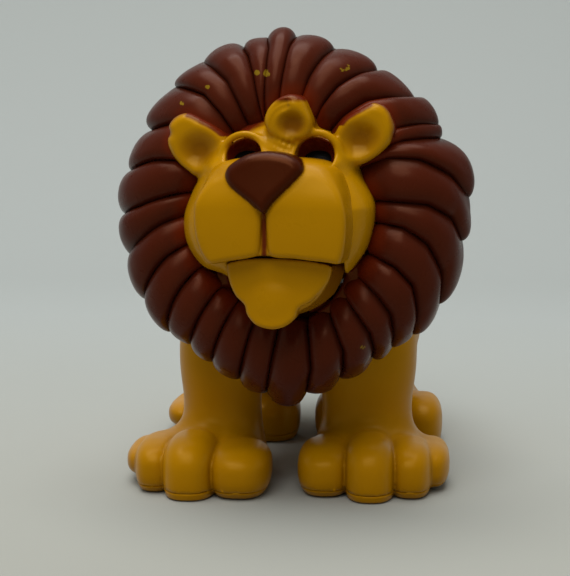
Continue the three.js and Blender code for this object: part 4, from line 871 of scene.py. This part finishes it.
# Each ear's outline and the middle of its hollow, and each socket's middle, half width and half height
EARS = [(LEFT_EAR, (-12.8, 11.8)), (RIGHT_EAR, (13.0, 13.6))]
CURL = smooth_outline([(-1.8, 16.1), (-1.4, 18.0), (-0.3, 19.4), (1.1, 20.3), (2.7, 20.6), (4.2, 20.0),
                      (5.1, 18.4), (5.8, 16.3), (5.4, 14.4), (3.8, 13.4), (1.4, 13.3), (-0.7, 14.2)])
CURL_X, CURL_Z = 2.75, 15.9
CURL_DIMPLE = ((CURL_X, -53.6, CURL_Z), (3.2, 2.5, 2.6))
SOCKETS = [(-5.1, 11.1, 3.05, 2.75), (6.25, 11.2, 3.05, 2.95)]


def ear(x, y, z, outline, dimple_x, dimple_z):
    """Distance to an ear: a thick pad with a soft round hollow, its outer side a little further back."""
    level = y - 0.1 * np.abs(x - dimple_x)
    whole = pad(x, level, z, outline, EAR_FRONT_Y, EAR_EDGE, EAR_THICKNESS)
    return cut(whole, ball(x, level, z, (dimple_x, EAR_CUP_Y, dimple_z), EAR_CUP), 1.2)


def face(x, y, z):
    """Distance to the face: cheeks, brow, bridge, curl, ears, sockets, and the cup round the jaw."""
    proud = 1.8 * ramp((x - 2) / 4) * ramp((8 - z) / 5)
    whole = pad(x, y - 0.012 * x ** 2 + proud, z, CHEEKS, FACE_FRONT_Y, FACE_EDGE, FACE_DEPTH)
    whole = merge(whole, ball(x, y, z, *BROW), 3)
    whole = merge(whole, ball(x, y, z, *BRIDGE), 1.2)
    curl = pad(x, y - 0.02 * (x - 2) ** 2, z, CURL, CURL_FRONT_Y, CURL_EDGE, CURL_DEPTH)
    turn = np.hypot((x - CURL_X) / 1.15, z - CURL_Z)
    for radius in CURL_LINES:
        line = np.hypot(turn - radius, y + 52.5 - 0.03 * radius ** 2) - 0.5
        curl = cut(curl, line + 0.7 * ramp((x - 1.9) / 1.2), 0.25)
    whole = merge(whole, curl, 0.9)
    whole = cut(whole, ball(x, y, z, *CURL_DIMPLE), 0.7)
    for outline, dimple in EARS:
        whole = merge(whole, ear(x, y, z, outline, *dimple), 1.4)
    for middle, level, wide, tall in SOCKETS:
        ring = np.hypot((x - middle) / (wide + 0.6), (z - level) / (tall + 0.55))
        arch = np.hypot((ring - 1) * 3.4, y + 50.6 - 0.14 * np.abs(x - 0.6)) - 0.55
        whole = merge(whole, trim(arch, level - 0.6 - z, 0.8), 0.7)
    for middle, level, wide, tall in SOCKETS:
        whole = cut(whole, ball(x, y, z, (middle, SOCKET_FRONT_Y, level), (wide, SOCKET_DEPTH, tall)), 0.3)
    crinkle = np.exp(-((x - 1.7) / 2.0) ** 2 - ((z - 12.9) / 1.1) ** 2) * (y < -47)
    whole = whole - 0.17 * crinkle * np.sin(4.4 * x + 1.3 * z) * np.sin(4.1 * z - 2.2 * x)
    from_x, from_z = x - JAW_BLOCK_X, z - JAW_BLOCK_Z
    rim = np.hypot(from_x / CUP_RIM[0], from_z / CUP_RIM[1]) * 10 - 10
    rim = trim(trim(rim, z - CUP_TOP_Z, 0.5), np.abs(y - CUP_MIDDLE_Y) - CUP_HALF_LENGTH, 0.6)
    boss = trim(np.hypot(y - JAW_PIN_Y, z - JAW_PIN_Z) - PIN_BOSS_RADIUS, np.abs(x) - PIN_BOSS_REACH, 0.5)
    rim = merge(rim, boss, 0.8)
    whole = trim(merge(whole, rim, 0.8), y - FACE_BACK_Y, 0.2)
    wide, tall = JAW_BLOCK[0] + POCKET_SPARE[0], JAW_BLOCK[1] + POCKET_SPARE[1]
    pocket = np.hypot(from_x / wide, from_z / tall) * 10 - 10
    pocket = trim(trim(pocket, z - POCKET_TOP_Z, 0.3), np.abs(y - POCKET_MIDDLE_Y) - POCKET_HALF_LENGTH, 0.3)
    hole = np.hypot(from_x / HOLE_RADII[0], from_z / HOLE_RADII[1]) * 9 - 9
    hole = trim(trim(hole, z - POCKET_TOP_Z, 0.3), np.abs(y - HOLE_MIDDLE_Y) - HOLE_HALF_LENGTH, 0.2)
    return cut(cut(whole, pocket, 0.7), np.minimum(hole, brick(x, y, z, *ARM_ROOM, 0.4)), 0.15)


head_face, face_points = add_skin(
    "face", face, (-20, -55, -14.5), (20, -37.2, 22), FACE_GRID * COARSER, on_head, face_yellow, "head",
    ["head_front_shell"], "yellow_plastic", reach=1.0)
face_x, face_y, face_z = face_points.T

# Radius at which the mane's locks begin, against their angle in degrees
MANE_EDGE = np.array([[0, 19.6], [14, 18.2], [30, 19.3], [47, 22.5], [62, 18.5], [80, 16.0], [95, 15.9],
                     [120, 14.6], [150, 15.6], [180, 17.2], [197, 16.8], [215, 15.2], [240, 14.6],
                     [265, 15.9], [285, 17.2], [305, 22.5], [322, 18.0], [340, 16.2], [352, 17.4],
                     [360, 19.6]])
PAINTED_BEHIND_Y, PAINTED_ABOVE_Z, PAINTED_WITHIN_X = -47.3, 19.0, 15.6
PAINTED_CUP_Y, PAINTED_CUP_Z = -46.4, -5.4

# Brown mist lies deep beside the mane, on the tops of the ears and the forelock, in the sockets and
# in the cup behind the jaw. The hollows of the ears and the curl get only a painted shade.
edge = np.interp(np.degrees(np.arctan2(face_x, face_z)) % 360, MANE_EDGE[:, 0], MANE_EDGE[:, 1])
near_mane = ramp(1.1 - (edge - np.hypot(face_x, face_z)) / 3.0)
deep_in = ramp((face_y - PAINTED_BEHIND_Y + 1.9 * ramp((face_z - 12) / 2)) / 1.6)
forelock_top = ramp((face_z - PAINTED_ABOVE_Z) / 0.9)
ear_top = np.zeros(len(face_points))
curl_gap = np.hypot((face_x - CURL_X) / 2.2, (face_z - CURL_Z) / 1.8)
shade = ramp(1.6 - 1.2 * curl_gap) * (face_y < -49)
for outline, (middle, level) in EARS:
    edge_gap = plate_distance(face_x, face_z, outline)
    upper = ramp((edge_gap + 1.0) / 0.5) * (edge_gap < 0.5) * (face_z > level + 2.2)
    ear_top = np.maximum(ear_top, upper * ramp((PAINTED_WITHIN_X - np.abs(face_x)) / 0.9))
    gap = np.hypot((face_x - middle) / 2.7, (face_z - level) / 2.3)
    shade = np.maximum(shade, ramp(1.45 - 1.1 * gap) * 0.85 * (face_y < -46.5))
socket = np.zeros(len(face_points))
for middle, level, wide, tall in SOCKETS:
    gap = np.hypot((face_x - middle) / wide, (face_z - level) / tall)
    socket = np.maximum(socket, np.clip((1.04 - gap) / 0.12, 0, 0.94) * (face_y < -44))
paint(head_face, "shade", shade)
cup = ramp((PAINTED_CUP_Z - face_z) / 0.6) * ramp((face_y - PAINTED_CUP_Y) / 0.6)
spray = np.maximum.reduce([near_mane * deep_in, ear_top, forelock_top, socket])
paint(head_face, "overspray", np.maximum(ramp(spray), cup * 1.3))
paint(head_face, "brown", cup * 0.5)

# Where the masked face meets the mane the brown is thin, and turns red
front_x, front_y, front_z = front_flat.T
face_gap = np.minimum.reduce([
    plate_distance(front_x, front_z, outline) + inset
    for outline, inset in ((CHEEKS, 0.2), (CURL, 0.0), (LEFT_EAR, 1.0), (RIGHT_EAR, 1.0))])
near_middle = ramp((17.6 - np.hypot(front_x, front_z)) / 2.6)
near_face = np.maximum(near_middle, ramp((2.4 - face_gap) / 2.2))
paint(front_mane, "thin", near_face * 0.9 * (front_y < -41))

# Muzzle
# A separate moulding pegged into the face: two flat-fronted flews with crisp rounded edges, the
# groove between them, a bridge up to the eyes, and the raised nose pad, which is painted brown.
MUZZLE_GRID = 0.26
FLEW_FRONT_Y, FLEW_EDGE, FLEW_DEPTH, MUZZLE_BASE_Z, MUZZLE_BACK_Y = -58.6, 0.9, 13, -5.8, -44.5
MUZZLE_CORE, MUZZLE_BRIDGE = ((-0.4, -51.0, -0.6), (3, 6.3, 3.4)), ((0.1, -50.3, 6.2), (10.6, 7.2, 4.7))

# Outlines of the lion's right and left flew and of its nose, seen from the front
FLEWS = {
    -1: smooth_outline([(-6.4, 8.1), (-7.8, 7.9), (-9.1, 7.3), (-10.4, 5.9), (-11.3, 4.2), (-11.55, 2.3),
                       (-11.45, 0.2), (-11.1, -1.8), (-10.4, -3.7), (-9.5, -5.0), (-8.6, -5.4),
                       (-6.7, -5.0), (-4.4, -4.6), (-2.3, -4.2), (-1.35, -3.6), (-1.05, -1.6), (-0.95, 1.6),
                       (-1.6, 3.9), (-4.0, 6.4)]),
    1: smooth_outline([(5.6, 8.4), (6.8, 8.9), (8.2, 8.5), (9.8, 7.3), (11.1, 5.6), (11.85, 3.5),
                      (12.15, 1.2), (12.0, -1.6), (11.55, -3.9), (10.9, -5.0), (9.1, -4.8), (6.5, -4.55),
                      (4.0, -4.3), (1.5, -4.25), (0.45, -3.9), (0.0, -2.8), (-0.1, -1.0), (-0.2, 1.6),
                      (0.3, 3.2), (2.3, 5.2), (4.2, 7.0)]),
}
NOSE = smooth_outline([(-6.6, 8.6), (-6.1, 9.7), (-4.6, 10.8), (-2.8, 11.6), (-0.4, 11.95), (2.2, 11.7),
                      (4.0, 11.1), (5.1, 10.2), (5.4, 9.1), (4.6, 7.9), (3.1, 6.35), (1.5, 4.9), (0.4, 3.6),
                      (-0.35, 2.6), (-1.2, 3.1), (-2.7, 4.3), (-4.3, 5.4), (-5.7, 6.5), (-6.4, 7.5)])
NOSE_FRONT_Y, NOSE_LEAN, NOSE_EDGE, NOSE_DEPTH = -59.8, math.tan(math.radians(12)), 1.4, 5.5


def nose_pad(x, y, z):
    """Distance to the nose: a rounded triangle whose face leans back towards its top."""
    front = NOSE_FRONT_Y + (z - 3) * NOSE_LEAN + 0.012 * (x + 0.4) ** 2
    return pad(x, y - front, z, NOSE, 0, NOSE_EDGE, NOSE_DEPTH)


def muzzle(x, y, z):
    """Distance to the muzzle: two domed flews with a groove between, which a core fills behind, a
    bridge over them, and the nose."""
    dome = 0.01 * ((np.abs(x + 0.1) - 5.6) ** 2 + (z - 1.0) ** 2) + 0.055 * np.maximum(z - 3, 0) ** 2
    flare = 0.08 * np.clip(y + 57.5, 0, 8)
    flews = [pad(x, y - dome, z, FLEWS[side], FLEW_FRONT_Y, FLEW_EDGE, FLEW_DEPTH) - flare * (side * x > 3)
             for side in (-1, 1)]
    whole = merge(np.minimum(*flews), brick(x, y, z, *MUZZLE_CORE, 0.3), 0.3)
    whole = merge(whole, pebble(x, y, z, *MUZZLE_BRIDGE, 3.2), 1.4)
    whole = trim(whole, MUZZLE_BASE_Z - z, 0.4)
    whole = merge(whole, nose_pad(x, y, z), 0.3)
    return trim(whole, y - MUZZLE_BACK_Y, 0.5)


head_muzzle, muzzle_points = add_skin(
    "muzzle_flews", muzzle, (-15, -61.5, -7), (15, -43.7, 13.5), MUZZLE_GRID * COARSER, on_head,
    head_yellow, "head", ["muzzle"], "yellow_plastic", reach=0.9)

# The nose pad is painted brown, and a little of its paint has run into the groove below it
muzzle_x, muzzle_y, muzzle_z = muzzle_points.T
nose_gap = nose_pad(*muzzle_points.T)
paint(head_muzzle, "brown", ramp((0.16 - nose_gap) / 0.12) * (muzzle_y < -53.5))
in_groove = ramp(1 - np.abs(muzzle_x + 0.55) / 0.75) * ramp((muzzle_y + 58.2) / 0.6)
paint(head_muzzle, "overspray", ramp(in_groove * (muzzle_z < 3.2) * 1.3))

# Lower jaw
# A bowl with a flat rim and a tuft on the chin, moulded in the same yellow, on two arms that run
# back to the jaw pin. A spring holds it shut under the muzzle.
JAW_GRID = 0.26
JAW_FRONT_Y, JAW_EDGE_ROUNDING, JAW_PLATE = -55.4, 0.8, 4.5
CHIN_TUFT = ((0.35, -54.5, -12.2), (4.7, 1.75, 4.4))
JAW_SCOOP = ((JAW_MIDDLE_X, -50.3, -4.4), (6.6, 3.3, 4.0))
JAW_BLOCK_Y, JAW_BLOCK_HALF_LENGTH = -50.2, 3.9
JAW_ARMS_X, ARM_Y, ARM_Z, ARM_HALF = (-4.95, 7.55), -45.2, -8.4, (0.5, 3.4, 1.9)
PIN_EYE_RADIUS, PIN_BORE_RADIUS = 2.2, 1.25
JAW_EDGE = smooth_outline([(-7.2, -3.0), (-7.25, -5.7), (-6.9, -8.1), (-5.8, -10.5), (-4.2, -12.0),
                          (-3.7, -13.5), (-2.4, -14.9), (-0.8, -15.5), (0.7, -15.6), (2.4, -15.1),
                          (3.85, -13.9), (4.5, -12.3), (6.3, -11.2), (8.0, -9.4), (9.1, -7.7), (9.5, -5.5),
                          (9.5, -3.0)])


def jaw(x, y, z):
    """Distance to the lower jaw: a front plate with the chin's outline, a round block behind it that
    fills the pocket, hollow above, and two arms with an eye each for the pin."""
    bulge = 0.9 * ramp((-8 - z) / 7) ** 1.5 - 0.012 * (x - JAW_MIDDLE_X) ** 2
    plate = pad(x, y + bulge, z, JAW_EDGE, JAW_FRONT_Y, JAW_EDGE_ROUNDING, JAW_PLATE)
    tuft = trim(ball(x, y, z, *CHIN_TUFT), plate_distance(x, z, JAW_EDGE) + 0.2, 0.5)
    plate = merge(plate, tuft, 0.4)
    round_edge = np.hypot((x - JAW_BLOCK_X) / JAW_BLOCK[0], (z - JAW_BLOCK_Z) / JAW_BLOCK[1]) - 1
    narrow = 1.5 * ramp((-46.5 - y) / 8)
    block = trim(round_edge * 9.3 + narrow, np.abs(y - JAW_BLOCK_Y) - JAW_BLOCK_HALF_LENGTH, 0.4)
    block = trim(block, -(z + 13.6) * 0.7 + (y + 48.5) * 0.7, 0.6)
    sag = np.where(x < -0.5, 0.0155, 0.0068) * (x + 0.5) ** 2
    lip = -4.6 - sag - 0.6 * ramp(y + 54.9)
    whole = cut(trim(merge(plate, block, 0.4), z - lip, 0.4), ball(x, y, z, *JAW_SCOOP), 0.5)
    from_pin = np.hypot(y - JAW_PIN_Y, z - JAW_PIN_Z)
    for arm_x in JAW_ARMS_X:
        arm = brick(x, y, z, (arm_x, ARM_Y, ARM_Z), ARM_HALF, 0.35)
        eye_ring = trim(from_pin - PIN_EYE_RADIUS, np.abs(x - arm_x) - ARM_HALF[0], 0.3)
        bore = np.maximum(from_pin - PIN_BORE_RADIUS, np.abs(x - arm_x) - 2)
        whole = cut(merge(whole, merge(arm, eye_ring, 0.5), 0.8), bore, 0.1)
    return whole


jaw_bowl, jaw_points = add_skin(
    "jaw_bowl", jaw, (-9.5, -57.5, -16.9), (11.5, -39, -4.5), JAW_GRID * COARSER, on_head, head_yellow,
    "jaw", ["lower_jaw"], "yellow_plastic", reach=0.9)

# Behind its front plate the jaw gets a painted shade, most of all towards its top
behind = ramp(jaw_points[:, 1] + 54.2)
paint(jaw_bowl, "shade", behind * ramp((jaw_points[:, 2] + 22) / 16))

# Eyes
# Two satin black studs pushed in from behind, that sit deep in their painted sockets.
EYE_Y, EYE_DEPTH, EYE_LOW, EYE_HALF_HEIGHT, EYE_WIDER = -46.3, 2.6, 1.9, 2.5, 1.2
EYE_SIDES = 48


def clouded(name, scale, detail, dark, light, smoothest, roughest):
    """A finish whose colour and roughness both drift between two values over one fine pattern."""
    material, shader, place = new_material(name)
    cloud = add_node(material, "TexNoise", values={"Scale": scale, "Detail": detail},
                     links={"Vector": place}).outputs["Fac"]
    tone = add_node(material, "Mix", {"data_type": "RGBA"}, {6: linear(dark), 7: linear(light)}, {0: cloud})
    rough = add_node(material, "MapRange", values={1: 0.3, 2: 0.7, 3: smoothest, 4: roughest},
                     links={0: cloud})
    set_node(material, shader, links={"Base Color": tone.outputs[2], "Roughness": rough.outputs[0]})
    return material, shader


# Black plastic swallows nearly all light, so the eyes are two dark dots with hardly a glint
black_plastic, black_shader = clouded("satin_black_styrene", 900.0, 3.0, "#030202", "#070404", 0.55, 0.65)
set_node(black_plastic, black_shader, {"Specular IOR Level": 0.1})
for word, (middle, level, wide, _) in zip(("right", "left"), SOCKETS):
    latitude = np.linspace(0.04, math.pi - 0.04, 28)[:, None]
    turn = np.linspace(0, 2 * math.pi, EYE_SIDES + 1)[:-1]
    rings = np.stack([
        middle + wide * EYE_WIDER * np.sin(latitude) * np.cos(turn),
        EYE_Y - EYE_DEPTH * np.cos(latitude) * np.ones(EYE_SIDES),
        level - EYE_LOW + EYE_HALF_HEIGHT * np.sin(latitude) * np.sin(turn),
    ], axis=-1)
    stud = make_rows(f"{word}_eye_stud", on_head(rings), black_plastic, turned=True)
    belongs(stud, "head", "black_plastic", f"{word}_eye")

# Neck straps
# Two yellow straps across the opening in the back of the head hold the neck pin, above and below
# the eye of the neck link.
STRAP_GRID = 0.45
STRAP_APART, STRAP_HALF, STRAP_EDGE = 5.65, (13.4, 1.7, 1.2), 0.3
STRAP_FOOT_X, STRAP_FOOT_Y, STRAP_FOOT_HALF = 13.0, -32.6, (1.6, 2.6, 1.2)
STRAP_BOSS_RADIUS, STRAP_BORE_RADIUS = 4, 1.75


def straps(x, y, z):
    """Distance to the two straps, each with a round boss for the pin and a foot at either end."""
    both = []
    from_pin = np.hypot(x, y - NECK_Y)
    for level in (NECK_Z - HEAD_Z - STRAP_APART, NECK_Z - HEAD_Z + STRAP_APART):
        strap = brick(x, y, z, (0, NECK_Y, level), STRAP_HALF, STRAP_EDGE)
        boss = trim(from_pin - STRAP_BOSS_RADIUS, np.abs(z - level) - STRAP_HALF[2], STRAP_EDGE)
        strap = cut(merge(strap, boss, 0.6), from_pin - STRAP_BORE_RADIUS, 0.1)
        for side in (-1, 1):
            end = brick(x, y, z, (side * STRAP_FOOT_X, STRAP_FOOT_Y, level), STRAP_FOOT_HALF, STRAP_EDGE)
            strap = merge(strap, end, 0.5)
        both.append(strap)
    return np.minimum(*both)


add_skin("neck_straps", straps, (-15.5, -38.5, -12.5), (15.5, -29, 3), STRAP_GRID, on_head, head_yellow,
         "head", ["head_back_shell"], "yellow_plastic")

# Screws, pins, spring and neck link
# Plated steel fasteners and spring wire, and the yellow link that carries the head. They keep the
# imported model's own shapes.

# Zinc-plated steel is a cold grey metal whose shine is clouded in patches
steel, steel_shader = clouded("zinc_plated_steel", 700.0, 5.0, "#8b8d90", "#a9abac", 0.26, 0.44)
set_node(steel, steel_shader, {"Metallic": 1.0})

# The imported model's nodes under the visual pieces carry the same finishes
replaced = {"tail": body_yellow, "neck_link": body_yellow, "muzzle": head_yellow, "lower_jaw": head_yellow,
            "head_front_shell": brown_paint, "head_back_shell": brown_paint, "left_eye": black_plastic,
            "right_eye": black_plastic}
for name, node in frame["nodes"].items():
    finish = replaced.get(name, steel if any(w in name for w in ("screw", "pin", "spring")) else body_yellow)
    node.data.materials.clear()
    node.data.materials.append(finish)
